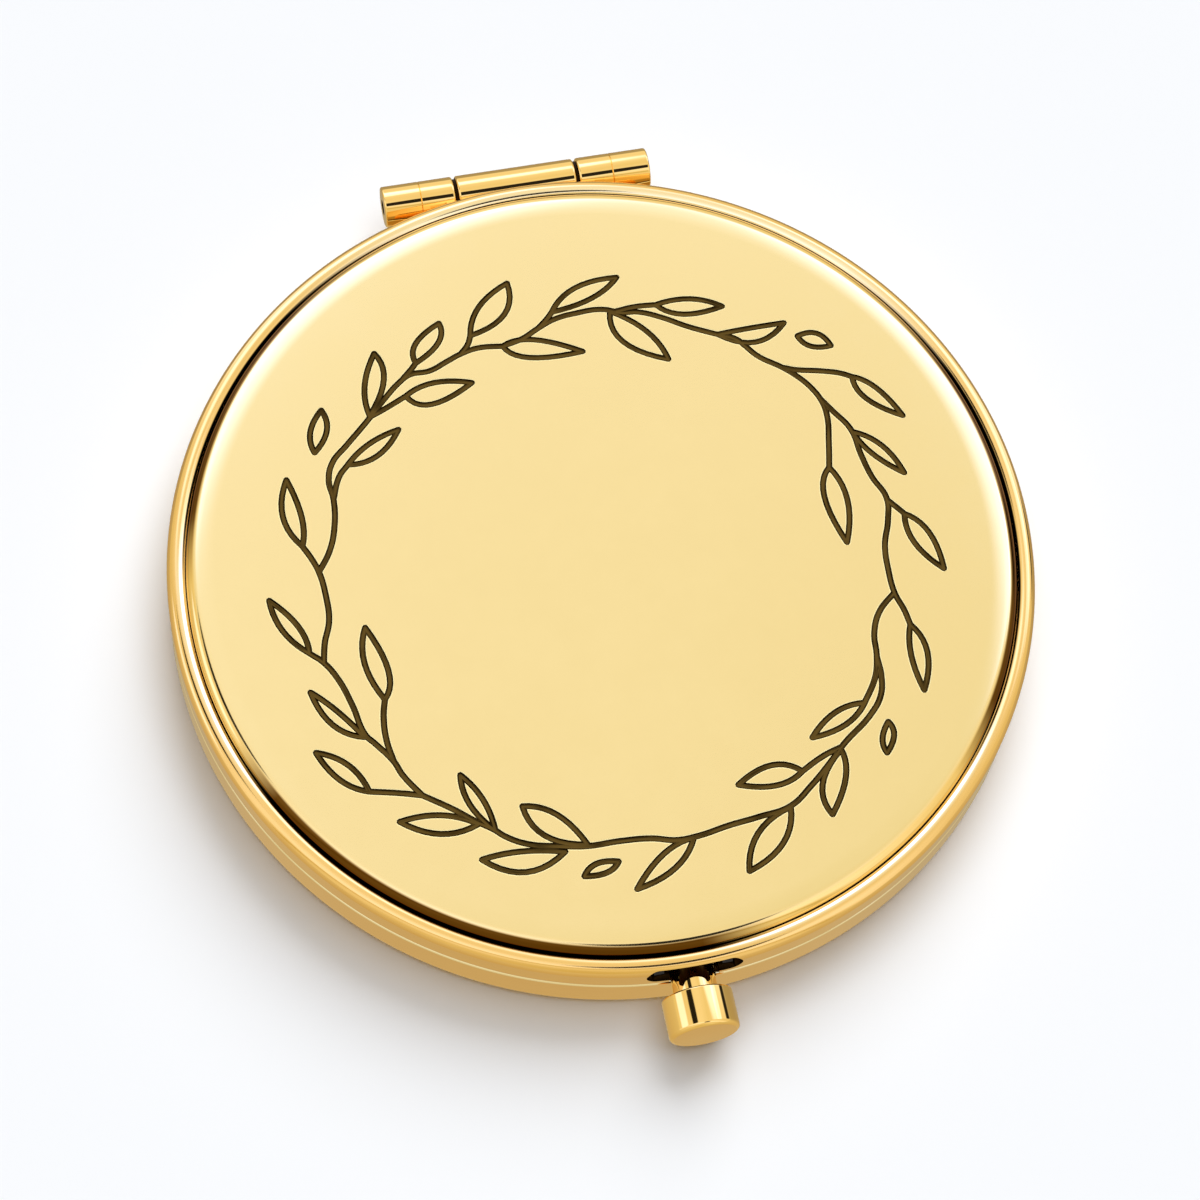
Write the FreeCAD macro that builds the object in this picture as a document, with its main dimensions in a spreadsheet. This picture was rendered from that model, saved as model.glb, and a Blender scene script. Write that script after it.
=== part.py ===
import FreeCAD, Part
import math
import os
import Sketcher
from FreeCAD import Placement, Rotation, Vector

# A round compact mirror, closed, lying on its base.
# Millimetres, +Z up, origin at the middle of the flat underside.
# The hinge is at the back (+Y) and the push button at the front (-Y).

doc = FreeCAD.newDocument("compact_mirror")

FRONT = Vector(0, -1, 0)
SIDE = Vector(1, 0, 0)
UP = Vector(0, 0, 1)
TO_FRONT = Rotation(UP, 180)
COIL_STEPS = 48  # points to a turn of the spring where its gap is measured

# Driving dimensions: alias, value, what it is.
SIZES = [
    # case
    ("case_radius", 32.5, "outside of both rims"),
    ("rim_wall", 0.9, "thickness of both rim walls"),
    ("base_height", 4.15, "underside to the top of the base rim"),
    ("lid_height", 3.15, "lid rim edge to the flat top"),
    ("seam_gap", 0.1, "gap between the closed rims"),
    ("seam_round", 0.2, "rounding of the two rim edges at the seam"),
    ("fit_gap", 0.05, "side gap of a piece dropped into the case"),
    ("cover_sheet", 0.5, "sheet of the lid cover and the base cover"),
    # lid
    ("bead_radius", 0.7, "rounding of the bead on the lid rim"),
    ("bead_wrap", 150, "degrees from the rim wall over the bead to the crease"),
    ("bead_drop", 0.85, "flat top down to the crest of the bead"),
    ("cover_shoulder", 0.95, "rounding of the lid cover's edge"),
    ("rim_depth", 0.85, "lid rim edge up to the ledge that carries the cover"),
    ("ledge_thickness", 0.5, "ledge under the lid cover"),
    ("ledge_width", 1.6, "reach of that ledge from the rim wall"),
    # base
    ("frame_lift", 0.25, "underside up to the bottom of the base frame"),
    ("base_round", 0.8, "rounding of the base frame's lower edge"),
    ("base_flange", 0.45, "floor flange of the base frame, thickness"),
    ("base_flange_width", 2.2, "floor flange, reach from the rim wall"),
    ("base_cover_round", 0.3, "rounding of the base cover's lower edge"),
    # mirrors
    ("bezel_width", 4.6, "rim wall to the edge of the glass"),
    ("bezel_lip", 0.7, "overlap of the bezel on the glass"),
    ("bezel_sheet", 0.4, "face sheet of the bezels"),
    ("bezel_collar", 0.9, "thickness of the bezels' collars"),
    ("bezel_set", 0.1, "bezel face below the rim edge"),
    ("bezel_round", 0.25, "rounding of the bezel's inner edge"),
    ("mirror_thickness", 1.2, "mirror glass"),
    ("mirror_gap", 0.15, "side gap of the glass in its collar"),
    ("mirror_arris", 0.12, "ground edge of the glass"),
    ("magnifier_sag", 0.6, "depth of the hollow in the magnifying glass"),
    ("pad_inset", 2.5, "edge of the glass to the edge of its felt pad"),
    # hinge
    ("hinge_offset", 1.1, "hinge axis outside the rim"),
    ("barrel_radius", 1.6, "hinge barrel"),
    ("barrel_round", 0.15, "rounding of the knuckle ends"),
    ("joint_chamfer", 0.05, "edge where a cap meets its knuckle"),
    ("channel_gap", 0.25, "gap from the barrel to the channel in the rims"),
    ("knuckle_gap", 0.25, "gap between neighbouring knuckles"),
    ("lid_knuckle_length", 9.4, "middle knuckle"),
    ("base_knuckle_length", 2.7, "each outer knuckle"),
    ("hinge_cap_length", 2.95, "each end cap of the barrel"),
    ("pin_radius", 0.6, "hinge pin"),
    ("pin_recess", 0.5, "end of the pin inside the cap"),
    ("web_height", 1.35, "height of the webs that tie the knuckles to the rims"),
    ("web_gap", 0.08, "webs below and above the middle of the seam"),
    ("running_gap", 0.05, "radial clearance of a turning or sliding fit"),
    ("press_gap", 0.01, "radial clearance of a fixed fit"),
    # push button
    ("button_drop", 0.55, "base rim edge down to the button axis"),
    ("button_radius", 2.6, "cap of the button"),
    ("button_length", 3.0, "cap of the button"),
    ("button_gap", 1.1, "rim to the back of the cap"),
    ("button_travel", 0.9, "stroke of the button"),
    ("button_wall", 0.8, "front wall of the cap"),
    ("button_face_round", 0.35, "rounding of the cap's front edge"),
    ("button_back_round", 0.15, "rounding of the cap's back edge"),
    ("button_sleeve_gap", 0.15, "cap bore to the tube it slides over"),
    ("button_overrun", 0.1, "gap left behind the tube at full stroke"),
    ("tube_radius", 1.65, "tube that carries the button"),
    ("tube_bore", 1.3, "spring bore of the tube"),
    ("tube_web", 0.6, "end wall of the tube, which guides the shaft"),
    ("tube_flange", 0.45, "reach of the tube's flange"),
    ("tube_flange_depth", 0.8, "rim wall to the inner end of the tube"),
    ("shaft_radius", 0.6, "button shaft"),
    ("shaft_seat", 0.45, "shaft pressed into the cap"),
    ("tenon_radius", 0.4, "inner end of the shaft, through the latch plate"),
    ("tenon_over", 0.15, "tenon past its clip"),
    ("clip_radius", 1.0, "clip on the tenon"),
    ("clip_thickness", 0.3, "clip on the tenon"),
    ("clip_slot", 0.6, "mouth of the clip"),
    ("spring_wire", 0.3, "return spring, wire diameter"),
    ("spring_radius", 0.97, "return spring, middle of the wire"),
    ("spring_turns", 5, "return spring, turns"),
    ("spring_end_gap", 0.03, "spring end to what it pushes on"),
    # latch
    ("latch_thickness", 0.55, "latch plate"),
    ("latch_stop", 0.05, "latch plate to the tube end that stops it"),
    ("latch_foot", 1.0, "latch plate below the button axis"),
    ("latch_bar", 1.0, "cross bar above the button axis"),
    ("lug_inside", 2.15, "middle of the plate to the inside of a lug"),
    ("lug_width", 0.75, "each lug of the latch plate"),
    ("nose_reach", 1.25, "nose of a lug, out from the plate"),
    ("nose_height", 0.45, "nose of a lug"),
    ("nose_cam", 0.3, "sloped top of the nose, height"),
    ("nose_gap", 0.12, "nose above the lip that it hooks"),
    ("relief_gap", 0.5, "latch plate to the sides of its relief"),
    ("relief_depth", 0.4, "mirror collar to the relief"),
    # window in the lid rim
    ("window_width", 7.1, "window over the button tube"),
    ("window_radius", 0.9, "rounding of the window in section"),
    ("window_inset", 0.15, "middle of the window inside the rim"),
    ("window_rise", 1.45, "lid rim edge to the middle of the window"),
    ("slot_gap", 0.2, "button tube to the slot in the lid rim"),
    ("lip_height", 0.62, "lip below the window, which the latch hooks"),
    ("lip_gap", 0.15, "latch lugs to the ends of the lip"),
]

# Values that follow from the driving dimensions: alias, formula.
PLACES = [
    ("rim_inner", "Sizes.case_radius - Sizes.rim_wall"),
    ("base_top", "Sizes.base_height"),
    ("lid_bottom", "Sizes.base_height + Sizes.seam_gap"),
    ("lid_top", "lid_bottom + Sizes.lid_height"),
    ("seam_edge_radius", "Sizes.case_radius - Sizes.seam_round"),
    ("lid_edge_top", "lid_bottom + Sizes.seam_round"),
    ("base_edge_top", "Sizes.base_height - Sizes.seam_round"),
    # lid frame and cover
    ("bead_crest", "lid_top - Sizes.bead_drop"),
    ("bead_side", "bead_crest - Sizes.bead_radius"),
    ("crease_radius", "Sizes.case_radius - Sizes.bead_radius * (1 - cos(Sizes.bead_wrap))"),
    ("crease_height", "bead_side + Sizes.bead_radius * sin(Sizes.bead_wrap)"),
    ("ledge_under", "lid_bottom + Sizes.rim_depth"),
    ("ledge_top", "ledge_under + Sizes.ledge_thickness"),
    ("ledge_inner", "rim_inner - Sizes.ledge_width"),
    ("cover_radius", "crease_radius - Sizes.fit_gap"),
    ("cover_inner", "cover_radius - Sizes.cover_sheet"),
    ("cover_flat", "cover_radius - Sizes.cover_shoulder"),
    ("cover_side", "lid_top - Sizes.cover_shoulder"),
    ("cover_under", "lid_top - Sizes.cover_sheet"),
    ("cover_inner_shoulder", "Sizes.cover_shoulder - Sizes.cover_sheet"),
    # base frame and cover
    ("base_corner_radius", "Sizes.case_radius - Sizes.base_round"),
    ("base_corner_top", "Sizes.frame_lift + Sizes.base_round"),
    ("flange_top", "Sizes.frame_lift + Sizes.base_flange"),
    ("flange_inner", "rim_inner - Sizes.base_flange_width"),
    ("brim_radius", "rim_inner - Sizes.fit_gap"),
    ("brim_top", "flange_top + Sizes.cover_sheet"),
    ("drop_radius", "flange_inner - Sizes.fit_gap"),
    ("drop_inner", "drop_radius - Sizes.cover_sheet"),
    ("drop_flat", "drop_radius - Sizes.base_cover_round"),
    # mirrors, bezels and pads
    ("mirror_radius", "rim_inner - Sizes.bezel_width"),
    ("mirror_flat", "mirror_radius - Sizes.mirror_arris"),
    ("collar_inner", "mirror_radius + Sizes.mirror_gap"),
    ("collar_outer", "collar_inner + Sizes.bezel_collar"),
    ("bezel_inner", "mirror_radius - Sizes.bezel_lip"),
    ("bezel_inner_flat", "bezel_inner + Sizes.bezel_round"),
    ("bezel_outer", "rim_inner - Sizes.fit_gap"),
    ("bezel_foot_inner", "bezel_outer - Sizes.bezel_collar"),
    ("pad_radius", "mirror_radius - Sizes.pad_inset"),
    ("lid_bezel_face", "lid_bottom + Sizes.bezel_set"),
    ("lid_bezel_edge", "lid_bezel_face + Sizes.bezel_round"),
    ("lid_bezel_back", "lid_bezel_face + Sizes.bezel_sheet"),
    ("lid_mirror_top", "lid_bezel_back + Sizes.mirror_thickness"),
    ("lid_mirror_low_arris", "lid_bezel_back + Sizes.mirror_arris"),
    ("lid_mirror_high_arris", "lid_mirror_top - Sizes.mirror_arris"),
    ("base_bezel_face", "Sizes.base_height - Sizes.bezel_set"),
    ("base_bezel_edge", "base_bezel_face - Sizes.bezel_round"),
    ("base_bezel_back", "base_bezel_face - Sizes.bezel_sheet"),
    ("base_mirror_under", "base_bezel_back - Sizes.mirror_thickness"),
    ("base_mirror_hollow", "base_bezel_back - Sizes.magnifier_sag"),
    ("base_mirror_crown", "base_mirror_under - Sizes.magnifier_sag"),
    ("magnifier_radius", "(mirror_radius^2 + Sizes.magnifier_sag^2) / (2 * Sizes.magnifier_sag)"),
    ("base_pad_edge", "base_mirror_crown + magnifier_radius - sqrt(magnifier_radius^2 - pad_radius^2)"),
    # hinge
    ("hinge_y", "Sizes.case_radius + Sizes.hinge_offset"),
    ("hinge_z", "Sizes.base_height + Sizes.seam_gap / 2"),
    ("barrel_flat", "Sizes.barrel_radius - Sizes.barrel_round"),
    ("channel_radius", "Sizes.barrel_radius + Sizes.channel_gap"),
    ("base_bore", "Sizes.pin_radius + Sizes.press_gap"),
    ("lid_bore", "Sizes.pin_radius + Sizes.running_gap"),
    ("lid_knuckle_end", "Sizes.lid_knuckle_length / 2"),
    ("lid_knuckle_edge", "lid_knuckle_end - Sizes.barrel_round"),
    ("base_knuckle_start", "lid_knuckle_end + Sizes.knuckle_gap"),
    ("base_knuckle_edge", "base_knuckle_start + Sizes.barrel_round"),
    ("base_knuckle_end", "base_knuckle_start + Sizes.base_knuckle_length"),
    ("hinge_cap_end", "base_knuckle_end + Sizes.hinge_cap_length"),
    ("hinge_cap_edge", "hinge_cap_end - Sizes.barrel_round"),
    ("hinge_cap_joint", "base_knuckle_end + Sizes.joint_chamfer"),
    ("base_knuckle_joint", "base_knuckle_end - Sizes.joint_chamfer"),
    ("joint_flat", "Sizes.barrel_radius - Sizes.joint_chamfer"),
    ("base_web_start", "sqrt(rim_inner^2 - base_knuckle_start^2) + Sizes.fit_gap"),
    ("pin_end", "hinge_cap_end - Sizes.pin_recess"),
    ("pin_edge", "pin_end - Sizes.barrel_round"),
    ("pin_flat", "Sizes.pin_radius - Sizes.barrel_round"),
    ("barrel_length", "2 * hinge_cap_end"),
    # push button, measured outwards along its axis from the middle of the case
    ("button_height", "Sizes.base_height - Sizes.button_drop"),
    ("button_back", "Sizes.case_radius + Sizes.button_gap"),
    ("button_back_edge", "button_back + Sizes.button_back_round"),
    ("button_back_flat", "Sizes.button_radius - Sizes.button_back_round"),
    ("button_face", "button_back + Sizes.button_length"),
    ("button_face_edge", "button_face - Sizes.button_face_round"),
    ("button_face_flat", "Sizes.button_radius - Sizes.button_face_round"),
    ("button_floor", "button_face - Sizes.button_wall"),
    ("button_bore", "Sizes.tube_radius + Sizes.button_sleeve_gap"),
    ("shaft_outer_end", "button_floor + Sizes.shaft_seat"),
    ("tube_end", "button_floor - Sizes.button_travel - Sizes.button_overrun"),
    ("tube_inner_end", "rim_inner - Sizes.tube_flange_depth"),
    ("tube_web_out", "tube_inner_end + Sizes.tube_web"),
    ("tube_guide", "Sizes.shaft_radius + Sizes.running_gap"),
    ("flange_radius", "Sizes.tube_radius + Sizes.tube_flange"),
    ("flange_seat", "sqrt(rim_inner^2 - flange_radius^2)"),
    ("tube_seat", "Sizes.tube_radius + Sizes.press_gap"),
    ("tube_top", "button_height + Sizes.tube_radius"),
    # latch plate, measured the same way
    ("plate_front", "tube_inner_end - Sizes.latch_stop"),
    ("plate_back", "plate_front - Sizes.latch_thickness"),
    ("plate_bottom", "button_height - Sizes.latch_foot"),
    ("plate_bar_top", "button_height + Sizes.latch_bar"),
    ("plate_half_width", "Sizes.lug_inside + Sizes.lug_width"),
    ("plate_bore", "Sizes.tenon_radius + Sizes.press_gap"),
    ("clip_back", "plate_back - Sizes.clip_thickness"),
    ("shaft_inner_end", "clip_back - Sizes.tenon_over"),
    ("window_height", "lid_bottom + Sizes.window_rise"),
    ("lip_top", "lid_bottom + Sizes.lip_height"),
    ("lip_half_width", "plate_half_width + Sizes.lip_gap"),
    ("nose_under", "lip_top + Sizes.nose_gap"),
    ("nose_top", "nose_under + Sizes.nose_height"),
    ("nose_tip_top", "nose_top - Sizes.nose_cam"),
    ("nose_tip", "plate_front + Sizes.nose_reach"),
    ("nose_slope_start", "nose_tip - 2 * Sizes.nose_cam"),
    ("relief_half_width", "plate_half_width + Sizes.relief_gap"),
    ("relief_inner", "collar_outer + Sizes.relief_depth"),
    ("window_out", "Sizes.case_radius - Sizes.window_inset"),
    ("window_end", "Sizes.window_width / 2 - Sizes.window_radius"),
    ("slot_half_width", "Sizes.tube_radius + Sizes.slot_gap"),
    ("slot_top", "tube_top + Sizes.slot_gap"),
]


def fill_sheet(name, rows):
    """Make a sheet with one row for each alias."""
    sheet = doc.addObject("Spreadsheet::Sheet", name)
    for number, row in enumerate(rows, start=1):
        sheet.set("A%d" % number, row[0])
        sheet.set("B%d" % number, str(row[1]))
        sheet.setAlias("B%d" % number, row[0])
        if len(row) > 2:
            sheet.set("C%d" % number, row[2])
    doc.recompute()
    return sheet


sizes = fill_sheet("Sizes", SIZES)
places = fill_sheet("Places", [(alias, "=" + formula) for alias, formula in PLACES])
PLACE_NAMES = [alias for alias, formula in PLACES]


def cell(alias):
    """The full name of a cell, as an expression reads it."""
    sheet = "Places" if alias in PLACE_NAMES else "Sizes"
    return sheet + "." + alias


def value(alias):
    """The present value of a cell."""
    sheet = places if alias in PLACE_NAMES else sizes
    return float(sheet.get(alias))


def bind(thing, **expressions):
    """Bind properties to expressions; X, Y and Z stand for the placement."""
    for name, expression in expressions.items():
        if name in ("X", "Y", "Z"):
            name = "Placement.Base." + name.lower()
        thing.setExpression(name, expression)


def arc_between(start, end, radius, left):
    """The shorter arc from start to end, bulging to the right of that way or to the left."""
    chord = end - start
    middle = (start + end) * 0.5
    rise = math.sqrt(max(radius ** 2 - (chord.Length / 2) ** 2, 0))
    side = Vector(-chord.y, chord.x, 0).normalize()
    centre = middle - side * rise if left else middle + side * rise
    first, last = (end, start) if left else (start, end)
    turn = [math.atan2(point.y - centre.y, point.x - centre.x) for point in (first, last)]
    if turn[1] < turn[0]:
        turn[1] += 2 * math.pi
    circle = Part.Circle(centre, Vector(0, 0, 1), radius)
    return Part.ArcOfCircle(circle, turn[0], turn[1])


def origin_plane(body, role):
    """One of the body's own three planes."""
    return [item for item in body.Origin.OriginFeatures if item.Role == role][0]


def outline(body, plane, points):
    """Sketch a closed outline on one of the body's own planes.

    A point is (across, up), two aliases or 0 for a place on an axis. A third entry makes
    the edge to the next point an arc of that radius, bulging right of the way it runs;
    a fourth entry, "left", makes it bulge left.
    """
    sketch = body.newObject("Sketcher::SketchObject", body.Name + "_outline")
    sketch.AttachmentSupport = [(origin_plane(body, plane), "")]
    sketch.MapMode = "FlatFace"
    spots = [Vector(*[value(alias) if alias else 0 for alias in point[:2]], 0) for point in points]
    ends = []
    for number, point in enumerate(points):
        start, end = spots[number], spots[(number + 1) % len(spots)]
        if len(point) == 2:
            sketch.addGeometry(Part.LineSegment(start, end))
            ends.append((1, 2))
        else:
            left = len(point) == 4
            sketch.addGeometry(arc_between(start, end, value(point[2]), left))
            ends.append((2, 1) if left else (1, 2))
    for number in range(len(points)):
        following = (number + 1) % len(points)
        sketch.addConstraint(Sketcher.Constraint(
            "Coincident", number, ends[number][1], following, ends[following][0]))
    for number, point in enumerate(points):
        for kind, alias, axis in (("DistanceX", point[0], -2), ("DistanceY", point[1], -1)):
            if not alias:
                sketch.addConstraint(Sketcher.Constraint("PointOnObject", number, ends[number][0], axis))
                continue
            place = sketch.addConstraint(Sketcher.Constraint(
                kind, -1, 1, number, ends[number][0], value(alias)))
            sketch.setExpression("Constraints[%d]" % place, cell(alias))
        if len(point) > 2:
            place = sketch.addConstraint(Sketcher.Constraint("Radius", number, value(point[2])))
            sketch.setExpression("Constraints[%d]" % place, cell(point[2]))
    return sketch


def turned(name, plane, axis, points):
    """A body turned from an outline about a sketch axis."""
    body = doc.addObject("PartDesign::Body", name)
    sketch = outline(body, plane, points)
    turn = body.newObject("PartDesign::Revolution", name + "_turn")
    turn.Profile = sketch
    turn.ReferenceAxis = (sketch, [axis])
    turn.Angle = 360
    body.Tip = turn
    return body


def upright(name, points):
    """A body turned about the case's axis, from (radius, height) points."""
    return turned(name, "XZ_Plane", "V_Axis", points)


def along_hinge(name, points, to_left=False, both_ways=False):
    """A body turned about the hinge axis, from (place along X, radius) points."""
    body = turned(name, "XY_Plane", "H_Axis", points)
    if both_ways:
        mirror = body.newObject("PartDesign::Mirrored", name + "_mirror")
        mirror.Originals = [body.Tip]
        mirror.MirrorPlane = (origin_plane(body, "YZ_Plane"), [""])
        body.Tip = mirror
    body.Placement = Placement(Vector(), Rotation(UP, 180 if to_left else 0))
    bind(body, Y=cell("hinge_y"), Z=cell("hinge_z"))
    return body


def along_button(name, points):
    """A body turned about the button's axis, from (radius, place outwards) points."""
    body = turned(name, "XY_Plane", "V_Axis", points)
    body.Placement = Placement(Vector(), TO_FRONT)
    bind(body, Z=cell("button_height"))
    return body


def box(name, x, y, z, length, width, height):
    """A block from its low corner and its three sizes, all expressions."""
    block = doc.addObject("Part::Box", name)
    bind(block, X=x, Y=y, Z=z, Length=length, Width=width, Height=height)
    return block


def rod(name, direction, radius, length, x="0", y="0", z="0"):
    """A cylinder from the middle of its first end."""
    cylinder = doc.addObject("Part::Cylinder", name)
    cylinder.Placement = Placement(Vector(), Rotation(UP, direction))
    bind(cylinder, Radius=radius, Height=length, X=x, Y=y, Z=z)
    return cylinder


def ball(name, radius, x, y, z):
    sphere = doc.addObject("Part::Sphere", name)
    bind(sphere, Radius=radius, X=x, Y=y, Z=z)
    return sphere


def fused(name, pieces):
    joined = doc.addObject("Part::MultiFuse", name)
    joined.Shapes = pieces
    return joined


def common(name, pieces):
    shared = doc.addObject("Part::MultiCommon", name)
    shared.Shapes = pieces
    return shared


def cut(name, base, tools):
    """The base less one tool or several."""
    result = doc.addObject("Part::Cut", name)
    result.Base = base
    result.Tool = tools[0] if len(tools) == 1 else fused(name + "_tools", tools)
    return result


sub_parts = []


def keep(label, thing):
    """Name a finished sub-part."""
    thing.Label = label
    sub_parts.append(thing)
    return thing


def latch_relief(name):
    """Room for the latch behind the front rim: a block bounded by the rim wall's inside."""
    reach = "Places.rim_inner - Places.relief_inner"
    block = box(name + "_block", "-Places.relief_half_width", "-Places.rim_inner", "0",
                "2 * Places.relief_half_width", reach, "Places.ledge_top")
    inside = rod(name + "_inside", UP, "Places.rim_inner", "Places.ledge_top")
    return common(name, [block, inside])


def hinge_channel(name):
    """The channel that both rims leave for the hinge barrel."""
    return rod(name, SIDE, "Places.channel_radius", "Places.barrel_length",
               x="-Places.hinge_cap_end", y="Places.hinge_y", z="Places.hinge_z")


def tube_slot(name, half_width, low, high):
    """An upright slot through the front rim for the button tube."""
    return box(name, "-" + half_width, "-Sizes.case_radius - Sizes.rim_wall", low,
               "2 * " + half_width, "3 * Sizes.rim_wall", high + " - (" + low + ")")


def make_lid_frame():
    ring = upright("lid_frame_ring", [
        ("rim_inner", "lid_bottom"),
        ("seam_edge_radius", "lid_bottom", "seam_round"),
        ("case_radius", "lid_edge_top"),
        ("case_radius", "bead_side", "bead_radius"),
        ("crease_radius", "crease_height"),
        ("crease_radius", "ledge_top"),
        ("ledge_inner", "ledge_top"),
        ("ledge_inner", "ledge_under"),
        ("rim_inner", "ledge_under"),
    ])
    window_y = "-Places.window_out"
    window = [
        rod("window_middle", SIDE, "Sizes.window_radius", "2 * Places.window_end",
            x="-Places.window_end", y=window_y, z="Places.window_height"),
        ball("window_left", "Sizes.window_radius", "-Places.window_end", window_y, "Places.window_height"),
        ball("window_right", "Sizes.window_radius", "Places.window_end", window_y, "Places.window_height"),
    ]
    slot = tube_slot("lid_slot", "Places.slot_half_width", "Sizes.base_height", "Places.slot_top")
    hook_room = box("lid_hook_room", "-Places.lip_half_width", window_y, "Places.lip_top",
                    "2 * Places.lip_half_width", "Sizes.rim_wall", "Sizes.window_radius")
    tools = window + [slot, hook_room, latch_relief("lid_frame_relief"), hinge_channel("lid_channel")]
    return keep("lid_frame", cut("lid_frame_cut", ring, tools))


def make_lid_cover():
    return keep("lid_cover", upright("lid_cover_sheet", [
        (0, "cover_under"),
        ("cover_flat", "cover_under", "cover_inner_shoulder", "left"),
        ("cover_inner", "cover_side"),
        ("cover_inner", "ledge_top"),
        ("cover_radius", "ledge_top"),
        ("cover_radius", "cover_side", "cover_shoulder"),
        ("cover_flat", "lid_top"),
        (0, "lid_top"),
    ]))


def make_lid_bezel():
    ring = upright("lid_bezel_ring", [
        ("bezel_inner_flat", "lid_bezel_face"),
        ("bezel_outer", "lid_bezel_face"),
        ("bezel_outer", "ledge_under"),
        ("bezel_foot_inner", "ledge_under"),
        ("bezel_foot_inner", "lid_bezel_back"),
        ("collar_outer", "lid_bezel_back"),
        ("collar_outer", "lid_mirror_top"),
        ("collar_inner", "lid_mirror_top"),
        ("collar_inner", "lid_bezel_back"),
        ("bezel_inner", "lid_bezel_back"),
        ("bezel_inner", "lid_bezel_edge", "bezel_round"),
    ])
    return keep("lid_bezel", cut("lid_bezel_cut", ring, [latch_relief("lid_bezel_relief")]))


def make_lid_mirror():
    return keep("lid_mirror", upright("lid_mirror_glass", [
        (0, "lid_bezel_back"),
        ("mirror_flat", "lid_bezel_back"),
        ("mirror_radius", "lid_mirror_low_arris"),
        ("mirror_radius", "lid_mirror_high_arris"),
        ("mirror_flat", "lid_mirror_top"),
        (0, "lid_mirror_top"),
    ]))


def make_lid_mirror_pad():
    return keep("lid_mirror_pad", upright("lid_mirror_felt", [
        (0, "lid_mirror_top"),
        ("pad_radius", "lid_mirror_top"),
        ("pad_radius", "cover_under"),
        (0, "cover_under"),
    ]))


def make_base_frame():
    ring = upright("base_frame_ring", [
        ("flange_inner", "frame_lift"),
        ("base_corner_radius", "frame_lift", "base_round"),
        ("case_radius", "base_corner_top"),
        ("case_radius", "base_edge_top", "seam_round"),
        ("seam_edge_radius", "base_top"),
        ("rim_inner", "base_top"),
        ("rim_inner", "flange_top"),
        ("flange_inner", "flange_top"),
    ])
    seat = rod("base_tube_seat", FRONT, "Places.tube_seat", "3 * Sizes.rim_wall",
               y="-Places.rim_inner + Sizes.rim_wall", z="Places.button_height")
    slot = tube_slot("base_slot", "Places.tube_seat", "Places.button_height", "Places.lid_bottom")
    tools = [seat, slot, hinge_channel("base_channel")]
    return keep("base_frame", cut("base_frame_cut", ring, tools))


def make_base_cover():
    return keep("base_cover", upright("base_cover_sheet", [
        (0, 0),
        ("drop_flat", 0, "base_cover_round"),
        ("drop_radius", "base_cover_round"),
        ("drop_radius", "flange_top"),
        ("brim_radius", "flange_top"),
        ("brim_radius", "brim_top"),
        ("drop_inner", "brim_top"),
        ("drop_inner", "cover_sheet"),
        (0, "cover_sheet"),
    ]))


def make_base_bezel():
    ring = upright("base_bezel_ring", [
        ("bezel_inner", "base_bezel_back"),
        ("collar_inner", "base_bezel_back"),
        ("collar_inner", "base_mirror_under"),
        ("collar_outer", "base_mirror_under"),
        ("collar_outer", "base_bezel_back"),
        ("bezel_foot_inner", "base_bezel_back"),
        ("bezel_foot_inner", "brim_top"),
        ("bezel_outer", "brim_top"),
        ("bezel_outer", "base_bezel_face"),
        ("bezel_inner_flat", "base_bezel_face", "bezel_round"),
        ("bezel_inner", "base_bezel_edge"),
    ])
    return keep("base_bezel", cut("base_bezel_cut", ring, [latch_relief("base_bezel_relief")]))


def make_base_mirror():
    return keep("base_mirror", upright("base_mirror_glass", [
        (0, "base_mirror_crown", "magnifier_radius"),
        ("mirror_radius", "base_mirror_under"),
        ("mirror_radius", "base_bezel_back", "magnifier_radius", "left"),
        (0, "base_mirror_hollow"),
    ]))


def make_base_mirror_pad():
    return keep("base_mirror_pad", upright("base_mirror_felt", [
        (0, "cover_sheet"),
        ("pad_radius", "cover_sheet"),
        ("pad_radius", "base_pad_edge", "magnifier_radius", "left"),
        (0, "base_mirror_crown"),
    ]))


def make_hinge_pin():
    return keep("hinge_pin", along_hinge("hinge_pin_wire", [
        (0, 0),
        ("pin_end", 0),
        ("pin_end", "pin_flat"),
        ("pin_edge", "pin_radius"),
        (0, "pin_radius"),
    ], both_ways=True))


def with_web(label, barrel, web, frame):
    """Tie a knuckle to its rim with a web that seats on the rim and in its channel."""
    core = rod(label + "_core", SIDE, "Places.barrel_flat", "Places.barrel_length",
               x="-Places.hinge_cap_end", y="Places.hinge_y", z="Places.hinge_z")
    seated_web = cut(label + "_web_seated", web, [frame, core])
    return keep(label, fused(label + "_fused", [barrel, seated_web]))


def make_lid_knuckle(frame):
    barrel = along_hinge("lid_knuckle_barrel", [
        (0, "lid_bore"),
        ("lid_knuckle_end", "lid_bore"),
        ("lid_knuckle_end", "barrel_flat", "barrel_round"),
        ("lid_knuckle_edge", "barrel_radius"),
        (0, "barrel_radius"),
    ], both_ways=True)
    web = box("lid_knuckle_web", "-Places.lid_knuckle_end", "Places.rim_inner + Sizes.fit_gap",
              "Places.hinge_z + Sizes.web_gap", "Sizes.lid_knuckle_length",
              "Places.hinge_y - Places.rim_inner - Sizes.fit_gap", "Sizes.web_height")
    return with_web("lid_knuckle", barrel, web, frame)


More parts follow.
